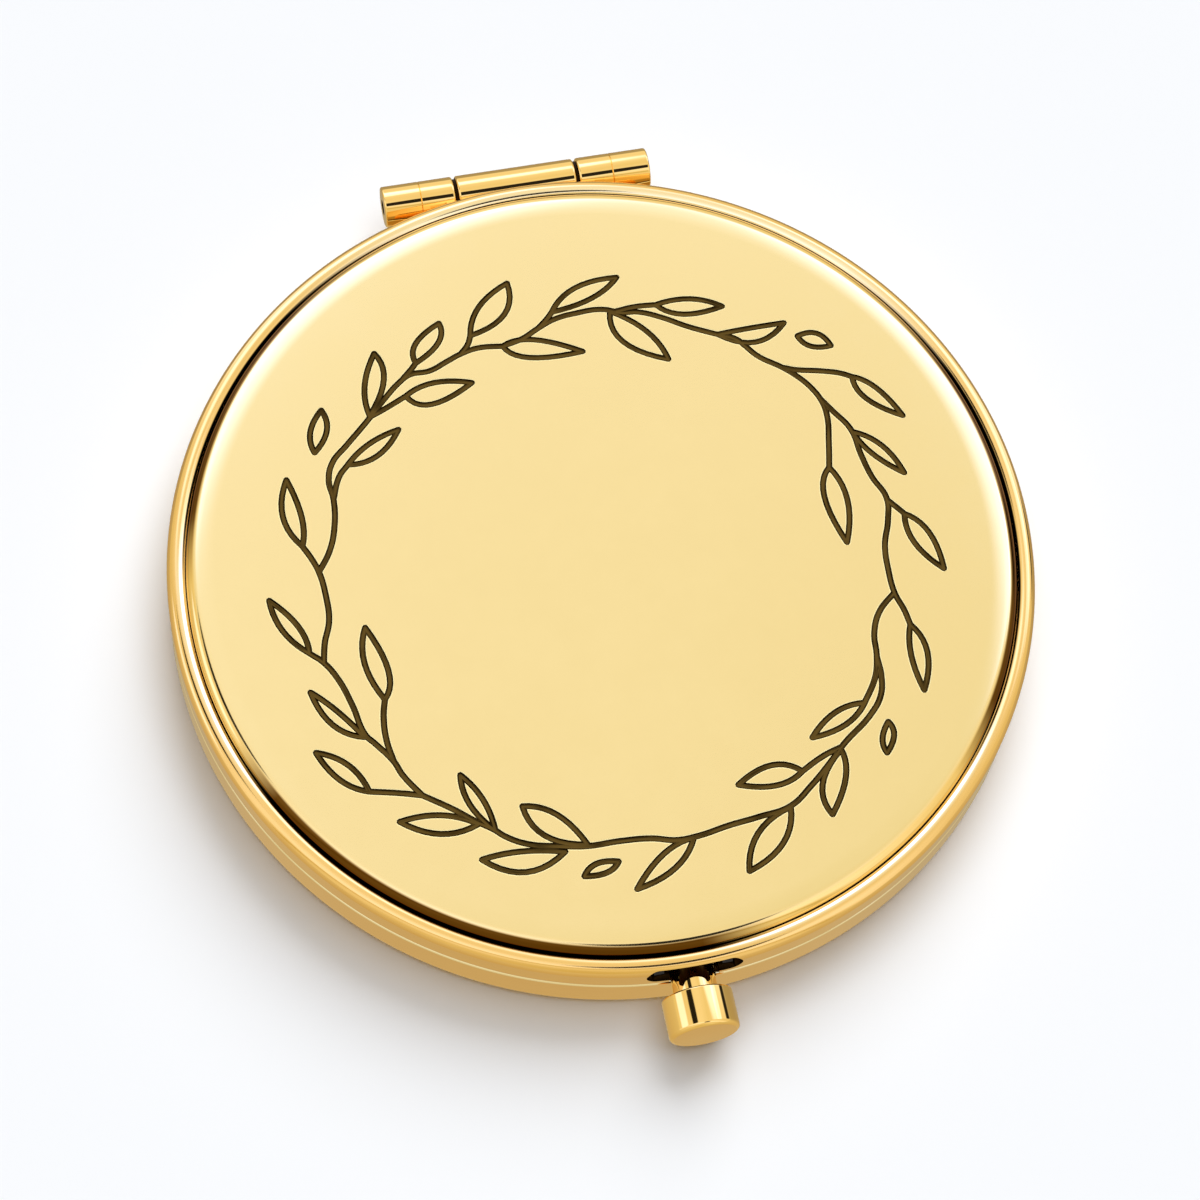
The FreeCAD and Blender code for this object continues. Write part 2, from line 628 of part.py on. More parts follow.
def make_base_knuckle(side, frame):
    label = "base_knuckle_" + side
    to_left = side == "left"
    barrel = along_hinge(label + "_barrel", [
        ("base_knuckle_start", "base_bore"),
        ("base_knuckle_end", "base_bore"),
        ("base_knuckle_end", "joint_flat"),
        ("base_knuckle_joint", "barrel_radius"),
        ("base_knuckle_edge", "barrel_radius", "barrel_round"),
        ("base_knuckle_start", "barrel_flat"),
    ], to_left)
    low_x = "-Places.base_knuckle_end" if to_left else "Places.base_knuckle_start"
    web = box(label + "_web", low_x, "Places.base_web_start",
              "Places.hinge_z - Sizes.web_gap - Sizes.web_height", "Sizes.base_knuckle_length",
              "Places.hinge_y - Places.base_web_start", "Sizes.web_height")
    return with_web(label, barrel, web, frame)


def make_hinge_cap(side):
    label = "hinge_cap_" + side
    return keep(label, along_hinge(label + "_tube", [
        ("base_knuckle_end", "base_bore"),
        ("hinge_cap_end", "base_bore"),
        ("hinge_cap_end", "barrel_flat", "barrel_round"),
        ("hinge_cap_edge", "barrel_radius"),
        ("hinge_cap_joint", "barrel_radius"),
        ("base_knuckle_end", "joint_flat"),
    ], side == "left"))


def make_button_tube():
    tube = along_button("button_tube_body", [
        ("tube_guide", "tube_inner_end"),
        ("tube_radius", "tube_inner_end"),
        ("tube_radius", "tube_end"),
        ("tube_bore", "tube_end"),
        ("tube_bore", "tube_web_out"),
        ("tube_guide", "tube_web_out"),
    ])
    flange = along_button("button_tube_flange", [
        ("tube_bore", "tube_inner_end"),
        ("flange_radius", "tube_inner_end"),
        ("flange_radius", "flange_seat"),
        ("tube_bore", "flange_seat"),
    ])
    room = box("button_tube_room", "-Places.flange_radius", "-Places.rim_inner",
               "Places.brim_top + Sizes.fit_gap", "2 * Places.flange_radius", "Sizes.tube_flange_depth",
               "Places.base_bezel_face - Places.brim_top - Sizes.fit_gap")
    trimmed_flange = common("button_tube_trimmed_flange", [flange, room])
    return keep("button_tube", fused("button_tube_fused", [tube, trimmed_flange]))


def make_button_cap():
    return keep("button_cap", along_button("button_cap_body", [
        ("shaft_radius", "button_floor"),
        ("button_bore", "button_floor"),
        ("button_bore", "button_back"),
        ("button_back_flat", "button_back", "button_back_round"),
        ("button_radius", "button_back_edge"),
        ("button_radius", "button_face_edge", "button_face_round"),
        ("button_face_flat", "button_face"),
        (0, "button_face"),
        (0, "shaft_outer_end"),
        ("shaft_radius", "shaft_outer_end"),
    ]))


def make_button_shaft():
    return keep("button_shaft", along_button("button_shaft_body", [
        (0, "shaft_inner_end"),
        ("tenon_radius", "shaft_inner_end"),
        ("tenon_radius", "plate_front"),
        ("shaft_radius", "plate_front"),
        ("shaft_radius", "shaft_outer_end"),
        (0, "shaft_outer_end"),
    ]))


def make_latch_plate():
    body = doc.addObject("PartDesign::Body", "latch_plate_body")
    sketch = outline(body, "YZ_Plane", [
        ("plate_back", "plate_bottom"),
        ("plate_front", "plate_bottom"),
        ("plate_front", "nose_under"),
        ("nose_tip", "nose_under"),
        ("nose_tip", "nose_tip_top"),
        ("nose_slope_start", "nose_top"),
        ("plate_back", "nose_top"),
    ])
    pad = body.newObject("PartDesign::Pad", "latch_plate_pad")
    pad.Profile = sketch
    pad.SideType = "Symmetric"
    bind(pad, Length="2 * Places.plate_half_width")
    body.Tip = pad
    body.Placement = Placement(Vector(), TO_FRONT)
    between = box("latch_plate_between", "-Sizes.lug_inside", "-Places.nose_tip", "Places.plate_bar_top",
                  "2 * Sizes.lug_inside", "Places.nose_tip - Places.clip_back", "Places.nose_top")
    bore = rod("latch_plate_bore", FRONT, "Places.plate_bore", "2 * Sizes.latch_thickness",
               y="-Places.clip_back", z="Places.button_height")
    return keep("latch_plate", cut("latch_plate_cut", body, [between, bore]))


def make_shaft_clip():
    ring = along_button("shaft_clip_ring", [
        ("plate_bore", "clip_back"),
        ("clip_radius", "clip_back"),
        ("clip_radius", "plate_back"),
        ("plate_bore", "plate_back"),
    ])
    mouth = box("shaft_clip_mouth", "-Sizes.clip_slot / 2", "-Places.plate_back",
                "Places.button_height - Sizes.clip_radius", "Sizes.clip_slot",
                "Sizes.clip_thickness", "Sizes.clip_radius")
    return keep("shaft_clip", cut("shaft_clip_cut", ring, [mouth]))


def coil_point(turn, radius, pitch):
    """A point of the spring's middle line and the way that it runs there."""
    angle = 2 * math.pi * turn
    point = Vector(radius * math.cos(angle), pitch * turn, radius * math.sin(angle))
    way = Vector(-radius * math.sin(angle), pitch / (2 * math.pi), radius * math.cos(angle))
    return point, way.normalize()


def arc_from_corner(start, corner, end):
    """The arc that touches both legs of a corner whose legs are equal."""
    middle = (start + end) * 0.5
    height = (corner - middle).Length
    half_chord = (end - start).Length / 2
    radius = half_chord * (corner - start).Length / height
    rise = radius - math.sqrt(radius ** 2 - half_chord ** 2)
    return Part.Arc(start, middle + (corner - middle) * (rise / height), end).toShape()


def coil_path(radius, pitch, turns):
    """The spring's middle line as two arcs to each quarter turn."""
    edges = []
    for quarter in range(int(round(4 * turns))):
        start, start_way = coil_point(quarter / 4, radius, pitch)
        end, end_way = coil_point((quarter + 1) / 4, radius, pitch)
        across = end - start
        ways = start_way + end_way
        spread = 4 - ways.dot(ways)
        lean = across.dot(ways)
        leg = (math.sqrt(lean ** 2 + spread * across.dot(across)) - lean) / spread
        first_corner = start + start_way * leg
        last_corner = end - end_way * leg
        joint = (first_corner + last_corner) * 0.5
        edges.append(arc_from_corner(start, first_corner, joint))
        edges.append(arc_from_corner(joint, last_corner, end))
    return Part.Wire(edges)


def make_button_spring():
    wire = value("spring_wire")
    radius = value("spring_radius")
    turns = value("spring_turns")
    first = value("tube_web_out") + value("spring_end_gap") + wire / 2
    last = value("button_floor") - value("spring_end_gap") - wire / 2
    pitch = (last - first) / turns
    path = coil_path(radius, pitch, turns)
    start, start_way = coil_point(0, radius, pitch)
    section = Part.Wire([Part.Circle(start, start_way, wire / 2).toShape()])
    spring = doc.addObject("Part::Feature", "button_spring_wire")
    spring.Shape = path.makePipeShell([section], True, False)
    spring.Placement = Placement(Vector(0, -first, value("button_height")), TO_FRONT)
    steps = range(int(COIL_STEPS * turns) + 1)
    points = [coil_point(step / COIL_STEPS, radius, pitch)[0] for step in steps]
    gaps = [(points[low] - points[high]).Length
            for low in steps for high in steps[low + COIL_STEPS // 2:]]
    print("button_spring: least gap between turns %.2f mm" % (min(gaps) - wire))
    return keep("button_spring", spring)


def report_and_write():
    doc.recompute()
    failed = [item.Name for item in doc.Objects if "Invalid" in item.State or "Error" in item.State]
    if failed:
        raise RuntimeError("failed: " + ", ".join(failed))
    for part in sub_parts:
        if part.Shape.isNull() or not part.Shape.isValid():
            raise RuntimeError("bad shape: " + part.Label)
    os.makedirs("parts", exist_ok=True)
    for part in sub_parts:
        part.Shape.exportStep("parts/%s.step" % part.Label)
        print("%-20s %d solid, %.2f mm3" % (part.Label, len(part.Shape.Solids), part.Shape.Volume))


lid_frame = make_lid_frame()
make_lid_cover()
make_lid_bezel()
make_lid_mirror()
make_lid_mirror_pad()
make_lid_knuckle(lid_frame)
base_frame = make_base_frame()
make_base_cover()
make_base_bezel()
make_base_mirror()
make_base_mirror_pad()
for side in ("left", "right"):
    make_base_knuckle(side, base_frame)
    make_hinge_cap(side)
make_hinge_pin()
make_button_tube()
make_button_cap()
make_button_shaft()
make_latch_plate()
make_shaft_clip()
make_button_spring()
report_and_write()
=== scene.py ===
import math

import bpy
from mathutils import Matrix, Vector


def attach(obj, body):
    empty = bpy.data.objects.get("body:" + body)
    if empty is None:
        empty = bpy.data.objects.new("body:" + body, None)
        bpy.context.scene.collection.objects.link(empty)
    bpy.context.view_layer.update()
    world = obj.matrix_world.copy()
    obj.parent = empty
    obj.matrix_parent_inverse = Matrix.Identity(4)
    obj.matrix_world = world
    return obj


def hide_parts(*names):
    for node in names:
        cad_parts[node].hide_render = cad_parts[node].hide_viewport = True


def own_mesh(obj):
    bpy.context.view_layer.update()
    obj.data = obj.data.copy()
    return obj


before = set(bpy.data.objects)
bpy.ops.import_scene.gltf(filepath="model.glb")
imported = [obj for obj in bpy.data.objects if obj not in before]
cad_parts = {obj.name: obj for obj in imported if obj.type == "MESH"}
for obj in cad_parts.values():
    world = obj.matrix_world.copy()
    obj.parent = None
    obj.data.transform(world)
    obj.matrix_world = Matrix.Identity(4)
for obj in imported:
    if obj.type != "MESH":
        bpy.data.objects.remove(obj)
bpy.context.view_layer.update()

# A round gold-plated compact mirror with an engraved leaf wreath, lying closed on a white table.
# Sizes are in millimetres and become metres where they meet Blender.

MM = 0.001

X = Vector((1, 0, 0))
Y = Vector((0, 1, 0))
Z = Vector((0, 0, 1))

# Heights above the table end in Z or TOP; distances out from the middle of the case end in OUT or IN.
LID_TOP = 7.4
SHOULDER_TOP = 7.37
SHOULDER_Z = 7.25
LEDGE_Z = 5.6
RIM_OUT = 32.5
RIM_IN = 31.6
# rings and the bottom plate sit inside the rims with a little room
RING_OUT = 31.55
# both bezels: an inner lip over the glass, a cup round it and a wall at the rim
BEZEL_LIP_IN = 26.3
BEZEL_CUP_IN = 27.15
BEZEL_CUP_OUT = 28.05
BEZEL_WALL_IN = 30.65
GLASS_OUT = 27.0
PAD_OUT = 24.5
COVER_UNDER_Z = 6.9
FLAT_MIRROR_Z = 4.75
FLAT_MIRROR_TOP = 5.95
MAGNIFIER_Z = 1.85
MAGNIFIER_TOP = 3.65
MAGNIFIER_THICKNESS = 1.2
MAGNIFIER_RADIUS = 607.8
MAGNIFIER_TURN = 2.546
PAN_FLOOR_Z = 0.5
FLANGE_TOP = 0.7

# the hinge barrel: its axis, its radius, and how far from the middle its pieces end
HINGE_Y = 33.6
HINGE_Z = 4.2
BARREL_RADIUS = 1.6
PIN_BORE = 0.61
LID_KNUCKLE_END = 4.9
BASE_KNUCKLE_START = 4.95
HINGE_CAP_START = 7.65
BARREL_END = 10.6

BUTTON_Z = 3.6
NECK_BACK = 30.8
WINDOW_OUT = 32.35
WINDOW_Z = 5.7
WINDOW_REACH = 2.65
# the tool that eases the window's edge stands this far in front of it
LIP_AHEAD = 1.4
LATCH_REACH = 3.4

# the joint between the lid's cover and its rim
CREASE_OUT = 31.17
CREASE_Z = 6.67
# how much painted shade it gets, by degrees round the case from its right-hand side; where there is none it
# gets a painted highlight
CREASE_SHADE_ROUND = [
    (-180, 0), (-162, 0), (-152, 1), (-88, 1), (-78, 0), (-45, 0), (-33, 1), (20, 1), (42, 0), (105, 0),
    (130, 1), (164, 1), (174, 0), (180, 0)]

# the engraved lines
LINE_DEPTH = 0.12
PALE_STEP_DEPTH = 0.012
LINE_END = 0.24
# where the wreath's drawing lies on the lid
WREATH_RIGHT = 0.02
WREATH_BACK = -0.1

# How a section lies: its zero point, the ways of its first and second numbers, and the axis it spins on.
CASE = (Vector((0, 0, 0)), X, Z, Z)
HINGE = (Vector((0, HINGE_Y, HINGE_Z)), X, Y, X)
BUTTON = (Vector((0, 0, BUTTON_Z)), X, -Y, Y)
WINDOW = (Vector((0, -WINDOW_OUT, WINDOW_Z)), X, Y, X)
LIP = (Vector((0, -WINDOW_OUT - LIP_AHEAD, WINDOW_Z)), X, Y, X)

# how many flats make up a circle
CASE_STEPS = 288
BARREL_STEPS = 96
# edges that turn by more than this stay sharp
SHARP_DEGREES = 32


# Materials


def linear(hex_colour):
    """An sRGB hex colour as Blender's linear colour."""
    parts = [int(hex_colour[at:at + 2], 16) / 255 for at in (0, 2, 4)]
    return [part / 12.92 if part <= 0.04045 else ((part + 0.055) / 1.055) ** 2.4 for part in parts] + [1]


def add_node(tree, kind, inputs=None, **settings):
    """Add a node with its settings, and give each named input a value or a link from another node."""
    made = tree.nodes.new(kind)
    for name, setting in settings.items():
        setattr(made, name, setting)
    for name, given in (inputs or {}).items():
        if isinstance(given, bpy.types.NodeSocket):
            tree.links.new(given, made.inputs[name])
        else:
            made.inputs[name].default_value = given
    return made


def new_material(name):
    """An empty material and its node tree."""
    material = bpy.data.materials.new(name)
    material.use_nodes = True
    material.node_tree.nodes.clear()
    return material, material.node_tree


def close_material(tree, shader):
    """Link a material's shader to its output."""
    add_node(tree, "ShaderNodeOutputMaterial", {"Surface": shader.outputs["BSDF"]})


def set_stops(ramp, stops):
    """Give a ramp its stops, each a place from 0 to 1 and a colour."""
    elements = ramp.color_ramp.elements
    while len(elements) < len(stops):
        elements.new(1)
    for element, (place, colour) in zip(elements, stops):
        element.position = place
        element.color = colour


def gold_plate(name, bright, dull, roughness, haze, shoulder=None, crease_paint=()):
    """Brass, buffed and gold-plated: warm reflections, with a faint uneven haze from buffing.

    A shoulder colour shows below the lid's flat top, whose paler colours are a painted highlight. Painted
    shade darkens the joint between the lid's cover and its rim in some places round it, and in others a
    painted highlight lightens it; each layer is the shaded colour, the lit one, where it fades out and where
    it is full, as distances from the joint.
    """
    material, tree = new_material(name)
    place = add_node(tree, "ShaderNodeTexCoord")
    # buffing haze in patches of about 3 mm
    patches = add_node(tree, "ShaderNodeTexNoise", {
        "Vector": place.outputs["Object"], "Scale": 1 / (3 * MM), "Detail": 3, "Roughness": 0.6})
    rough = add_node(tree, "ShaderNodeMapRange", {
        "Value": patches.outputs["Fac"], "From Min": 0.3, "From Max": 0.7,
        "To Min": roughness - haze, "To Max": roughness + haze})
    tone = add_node(tree, "ShaderNodeMix", {
        "Factor": patches.outputs["Fac"], "A": linear(bright), "B": linear(dull)}, data_type="RGBA")
    apart = add_node(tree, "ShaderNodeSeparateXYZ", {"Vector": place.outputs["Object"]})
    # the flat top keeps the paler colours, a painted highlight; the shoulder colour takes over below it
    if shoulder:
        below = add_node(tree, "ShaderNodeMapRange", {
            "Value": apart.outputs["Z"], "From Min": SHOULDER_TOP * MM, "From Max": SHOULDER_Z * MM})
        tone = add_node(tree, "ShaderNodeMix", {
            "Factor": below.outputs["Result"], "A": tone.outputs["Result"], "B": linear(shoulder)},
            data_type="RGBA")
    # painted shade in the joint in some places round it, a painted highlight in the others
    if crease_paint:
        level = add_node(tree, "ShaderNodeVectorMath", {
            0: place.outputs["Object"], 1: (1, 1, 0)}, operation="MULTIPLY")
        out = add_node(tree, "ShaderNodeVectorMath", {0: level.outputs["Vector"]}, operation="LENGTH")
        section = add_node(tree, "ShaderNodeCombineXYZ", {"X": out.outputs["Value"], "Z": apart.outputs["Z"]})
        away = add_node(tree, "ShaderNodeVectorMath", {
            0: section.outputs["Vector"], 1: (CREASE_OUT * MM, 0, CREASE_Z * MM)}, operation="DISTANCE")
        turn = add_node(tree, "ShaderNodeMath", {
            0: apart.outputs["Y"], 1: apart.outputs["X"]}, operation="ARCTAN2")
        share = add_node(tree, "ShaderNodeMapRange", {
            "Value": turn.outputs["Value"], "From Min": -math.pi, "From Max": math.pi})
        shade_round = add_node(tree, "ShaderNodeValToRGB", {"Fac": share.outputs["Result"]})
        set_stops(shade_round, [
            (degrees / 360 + 0.5, (amount, amount, amount, 1)) for degrees, amount in CREASE_SHADE_ROUND])
    for colour, lit_colour, fades, full in crease_paint:
        layer = add_node(tree, "ShaderNodeMapRange", {
            "Value": away.outputs["Value"], "From Min": fades * MM, "From Max": full * MM},
            interpolation_type="SMOOTHSTEP")
        joint = add_node(tree, "ShaderNodeMix", {
            "Factor": shade_round.outputs["Color"], "A": linear(lit_colour), "B": linear(colour)}, data_type="RGBA")
        tone = add_node(tree, "ShaderNodeMix", {
            "Factor": layer.outputs["Result"], "A": tone.outputs["Result"], "B": joint.outputs["Result"]},
            data_type="RGBA")
    shader = add_node(tree, "ShaderNodeBsdfPrincipled", {
        "Base Color": tone.outputs["Result"], "Metallic": 1, "Roughness": rough.outputs["Result"]})
    close_material(tree, shader)
    return material


def hole_shade_brass():
    """Nearly black brass with a dull brown sheen, painted shade for the insides of holes and gaps."""
    material, tree = new_material("hole_shade_brass")
    place = add_node(tree, "ShaderNodeTexCoord")
    # blotches about 0.5 mm wide in the painted shade
    blotches = add_node(tree, "ShaderNodeTexNoise", {
        "Vector": place.outputs["Object"], "Scale": 1 / (0.5 * MM), "Detail": 3})
    tone = add_node(tree, "ShaderNodeMix", {
        "Factor": blotches.outputs["Fac"], "A": linear("140b02"), "B": linear("301d08")}, data_type="RGBA")
    shader = add_node(tree, "ShaderNodeBsdfPrincipled", {
        "Base Color": tone.outputs["Result"], "Metallic": 1, "Roughness": 0.4})
    close_material(tree, shader)
    return material


def engraved_brass():
    """Laser-engraved brass: a shallow step painted pale as a highlight, then a burnt groove, nearly black at
    its sides and brown below.
    """
    material, tree = new_material("engraved_brass")
    place = add_node(tree, "ShaderNodeTexCoord")
    apart = add_node(tree, "ShaderNodeSeparateXYZ", {"Vector": place.outputs["Object"]})
    depth = add_node(tree, "ShaderNodeMapRange", {
        "Value": apart.outputs["Z"], "From Min": LID_TOP * MM, "From Max": (LID_TOP - LINE_DEPTH) * MM})
    # tracks of the beam, which follow the groove at one depth and fade over about 2 mm of its length
    tracks_at = add_node(tree, "ShaderNodeVectorMath", {
        0: place.outputs["Object"], 1: (1 / (2 * MM), 1 / (2 * MM), 7 / (LINE_DEPTH * MM))},
        operation="MULTIPLY")
    tracks = add_node(tree, "ShaderNodeTexNoise", {
        "Vector": tracks_at.outputs["Vector"], "Scale": 1, "Detail": 2})
    uneven = add_node(tree, "ShaderNodeMapRange", {
        "Value": tracks.outputs["Fac"], "From Min": 0.3, "From Max": 0.7, "To Min": -0.3, "To Max": 0.3})
    burnt = add_node(tree, "ShaderNodeMath", {
        0: depth.outputs["Result"], 1: uneven.outputs["Result"]}, operation="ADD")
    tone = add_node(tree, "ShaderNodeValToRGB", {"Fac": burnt.outputs["Value"]})
    set_stops(tone, [(0.5, linear("120900")), (1, linear("5f4a20"))])
    # the shallow step beside the groove is painted pale, a painted highlight
    pale_edge = add_node(tree, "ShaderNodeMath", {
        0: depth.outputs["Result"], 1: 1.2 * PALE_STEP_DEPTH / LINE_DEPTH}, operation="LESS_THAN")
    colour = add_node(tree, "ShaderNodeMix", {
        "Factor": pale_edge.outputs["Value"], "A": tone.outputs["Color"], "B": linear("fdecb0")}, data_type="RGBA")
    shader = add_node(tree, "ShaderNodeBsdfPrincipled", {
        "Base Color": colour.outputs["Result"], "Roughness": 0.8, "Specular IOR Level": 0.02})
    close_material(tree, shader)
    return material


def mirror_glass():
    """Silvered float glass: a clear neutral reflection with a trace of green."""
    material, tree = new_material("mirror_glass")
    place = add_node(tree, "ShaderNodeTexCoord")
    # float glass waves slightly over about 20 mm
    waves = add_node(tree, "ShaderNodeTexNoise", {
        "Vector": place.outputs["Object"], "Scale": 1 / (20 * MM), "Detail": 1})
    tone = add_node(tree, "ShaderNodeMix", {
        "Factor": waves.outputs["Fac"], "A": linear("eef3f1"), "B": linear("e9efed")}, data_type="RGBA")
    shader = add_node(tree, "ShaderNodeBsdfPrincipled", {
        "Base Color": tone.outputs["Result"], "Metallic": 1, "Roughness": 0.015})
    close_material(tree, shader)
    return material


def drawn_steel(name, colour):
    """Drawn spring steel with fine drawing lines along it."""
    material, tree = new_material(name)
    place = add_node(tree, "ShaderNodeTexCoord")
    # drawing lines 0.05 mm apart, stretched along the wire
    stretch = add_node(tree, "ShaderNodeMapping", {
        "Vector": place.outputs["Object"], "Scale": (0.1, 1, 1)})
    lines = add_node(tree, "ShaderNodeTexNoise", {
        "Vector": stretch.outputs["Vector"], "Scale": 1 / (0.05 * MM), "Detail": 2})
    rough = add_node(tree, "ShaderNodeMapRange", {
        "Value": lines.outputs["Fac"], "To Min": 0.22, "To Max": 0.38})
    shader = add_node(tree, "ShaderNodeBsdfPrincipled", {
        "Base Color": linear(colour), "Metallic": 1, "Roughness": rough.outputs["Result"]})
    close_material(tree, shader)
    return material


def pressed_felt():
    """Pressed wool felt: dull off-white with short tangled fibres."""
    material, tree = new_material("pressed_felt")
    place = add_node(tree, "ShaderNodeTexCoord")
    # fibres about 0.2 mm wide
    fibres = add_node(tree, "ShaderNodeTexNoise", {
        "Vector": place.outputs["Object"], "Scale": 1 / (0.2 * MM), "Detail": 4, "Distortion": 1.5})
    tone = add_node(tree, "ShaderNodeMix", {
        "Factor": fibres.outputs["Fac"], "A": linear("c9c6bb"), "B": linear("e2e0d8")}, data_type="RGBA")
    relief = add_node(tree, "ShaderNodeBump", {
        "Height": fibres.outputs["Fac"], "Strength": 0.6, "Distance": 0.1 * MM})
    shader = add_node(tree, "ShaderNodeBsdfPrincipled", {
        "Base Color": tone.outputs["Result"], "Roughness": 0.95, "Sheen Weight": 0.3,
        "Normal": relief.outputs["Normal"]})
    close_material(tree, shader)
    return material


# the lid's top is paler, a painted highlight, the rims softer, the hinge and the button sharp; the lid's cover
# and rim also carry painted shade and painted highlights along their joint
BUFFED = gold_plate("buffed_gold_plate", "fae1a0", "f6dc99", 0.09, 0.02, "fbd27c", (
    ("65400f", "fbd27c", 1.0, 0.78), ("0c0601", "fde0a0", 0.28, 0.18)))
SATIN = gold_plate("satin_gold_plate", "f7cb79", "f3c572", 0.11, 0.01, None, (
    ("f7cb79", "fee6ae", 0.75, 0.4), ("0c0601", "fde0a0", 0.22, 0.12)))
POLISHED = gold_plate("polished_gold_plate", "fdd37c", "f9cd75", 0.04, 0.015)
# a painted highlight along the base's upper edge at the seam
SEAM_HIGHLIGHT = gold_plate("seam_highlight_gold_plate", "fff0c4", "fdebb8", 0.12, 0.02)
# painted shade along the lid's lower edge at the seam
SEAM_SHADE = gold_plate("seam_shade_gold_plate", "a97b35", "9d702d", 0.3, 0.02)
# painted shade for the insides of holes and gaps
HOLE_SHADE = hole_shade_brass()
ENGRAVED = engraved_brass()
SILVERED = mirror_glass()
STEEL = drawn_steel("drawn_steel", "b4b4b6")
BLUED_AND_SHADED = drawn_steel("blued_and_shaded_steel", "35322e")
FELT = pressed_felt()


# Modelling


def begin(piece, name, material):
    """Name a new primitive, give it its material and put its place into its mesh."""
    piece.name = name
    bpy.ops.object.transform_apply(location=True, rotation=True, scale=True)
    piece.data.materials.append(material)
    return piece


def turned(name, material, layout, start, moves, steps):
    """Draw a section and spin it. A move is a point, or an arc's middle and its degrees, anticlockwise."""
    zero, across, up, axis = layout
    here = Vector(start)
    bpy.ops.object.select_all(action="DESELECT")
    bpy.ops.mesh.primitive_plane_add(size=MM)
    piece = begin(bpy.context.object, name, material)
    bpy.ops.object.mode_set(mode="EDIT")
    bpy.ops.mesh.select_mode(type="VERT")
    bpy.ops.mesh.merge(type="CENTER")
    bpy.ops.transform.translate(value=(zero + across * here.x + up * here.y) * MM)
    for move in moves:
        if len(move) == 2:
            step = Vector(move) - here
            bpy.ops.mesh.extrude_region_move(
                TRANSFORM_OT_translate={"value": (across * step.x + up * step.y) * MM})
            here = Vector(move)
        else:
            middle = Vector(move[:2])
            degrees = move[2]
            # a spin turns clockwise about its axis
            bpy.ops.mesh.spin(
                steps=max(6, round(abs(degrees) / 6)), angle=math.radians(degrees),
                center=(zero + across * middle.x + up * middle.y) * MM, axis=up.cross(across))
            here = middle + Matrix.Rotation(math.radians(degrees), 2) @ (here - middle)
    bpy.ops.mesh.select_all(action="SELECT")
    bpy.ops.mesh.spin(steps=steps, angle=math.tau, center=zero * MM, axis=axis)
    bpy.ops.mesh.select_all(action="SELECT")
    bpy.ops.mesh.remove_doubles(threshold=0.001 * MM)
    bpy.ops.mesh.normals_make_consistent(inside=False)
    bpy.ops.object.mode_set(mode="OBJECT")
    return piece


def block(name, material, low, high):
    """A block between two corners, as a tool or as a web to be joined to a piece."""
    low = Vector(low) * MM
    high = Vector(high) * MM
    bpy.ops.object.select_all(action="DESELECT")
    bpy.ops.mesh.primitive_cube_add(size=1, location=(low + high) / 2, scale=high - low)
    return begin(bpy.context.object, name, material)


def rod(name, material, radius, start, end, steps=BARREL_STEPS):
    """A cylinder between two points, as a tool or as the start of a piece."""
    start = Vector(start) * MM
    end = Vector(end) * MM
    way = end - start
    bpy.ops.object.select_all(action="DESELECT")
    bpy.ops.mesh.primitive_cylinder_add(
        vertices=steps, radius=radius * MM, depth=way.length, location=(start + end) / 2,
        rotation=way.to_track_quat("Z", "Y").to_euler())
    return begin(bpy.context.object, name, material)


def combine(piece, tool, operation, overlapping=False):
    """Cut a tool out of a piece or join it on; the tool is used up."""
    modifier = piece.modifiers.new("combine", "BOOLEAN")
    modifier.operation = operation
    modifier.solver = "EXACT"
    modifier.use_self = overlapping
    modifier.material_mode = "TRANSFER"
    modifier.object = tool
    bpy.context.view_layer.objects.active = piece
    bpy.ops.object.modifier_apply(modifier="combine")
    bpy.data.objects.remove(tool)


def select_corners(kind, passes):
    """In edit mode, select the edges or faces whose every corner passes a test in millimetres."""
    piece = bpy.context.object
    bpy.ops.mesh.select_mode(type=kind)
    bpy.ops.mesh.select_all(action="DESELECT")
    bpy.ops.object.mode_set(mode="OBJECT")
    mesh = piece.data
    inside = [passes(*(corner.co / MM)) for corner in mesh.vertices]
    for part in mesh.edges if kind == "EDGE" else mesh.polygons:
        part.select = all(inside[corner] for corner in part.vertices)
    bpy.ops.object.mode_set(mode="EDIT")


def edit(piece):
    """Select only this piece and go into edit mode."""
    bpy.ops.object.select_all(action="DESELECT")
    bpy.context.view_layer.objects.active = piece
    piece.select_set(True)
    bpy.ops.object.mode_set(mode="EDIT")


def trim(piece, planes):
    """Cut off what lies beyond each plane, given by a point and the way out, and close the cuts."""
    edit(piece)
    for point, way in planes:
        bpy.ops.mesh.select_all(action="SELECT")
        bpy.ops.mesh.bisect(plane_co=Vector(point) * MM, plane_no=way, use_fill=True, clear_outer=True)
    bpy.ops.object.mode_set(mode="OBJECT")


def close_ends(piece):
    """Fill the open loops of a piece and turn its faces outward."""
    edit(piece)
    bpy.ops.mesh.select_all(action="SELECT")
    bpy.ops.mesh.fill_holes(sides=0)
    bpy.ops.mesh.normals_make_consistent(inside=False)
    bpy.ops.object.mode_set(mode="OBJECT")


def bevel_edges(piece, width, segments, passes):
    """Bevel the edges whose corners pass a test in millimetres."""
    edit(piece)
    select_corners("EDGE", passes)
    bpy.ops.mesh.bevel(offset=width * MM, segments=segments, affect="EDGES")
    bpy.ops.object.mode_set(mode="OBJECT")


def paint(piece, material, passes):
    """Give a second material to the faces whose every corner passes a test in millimetres."""
    piece.data.materials.append(material)
    edit(piece)
    select_corners("FACE", passes)
    piece.active_material_index = len(piece.data.materials) - 1
    bpy.ops.object.material_slot_assign()
    bpy.ops.object.mode_set(mode="OBJECT")


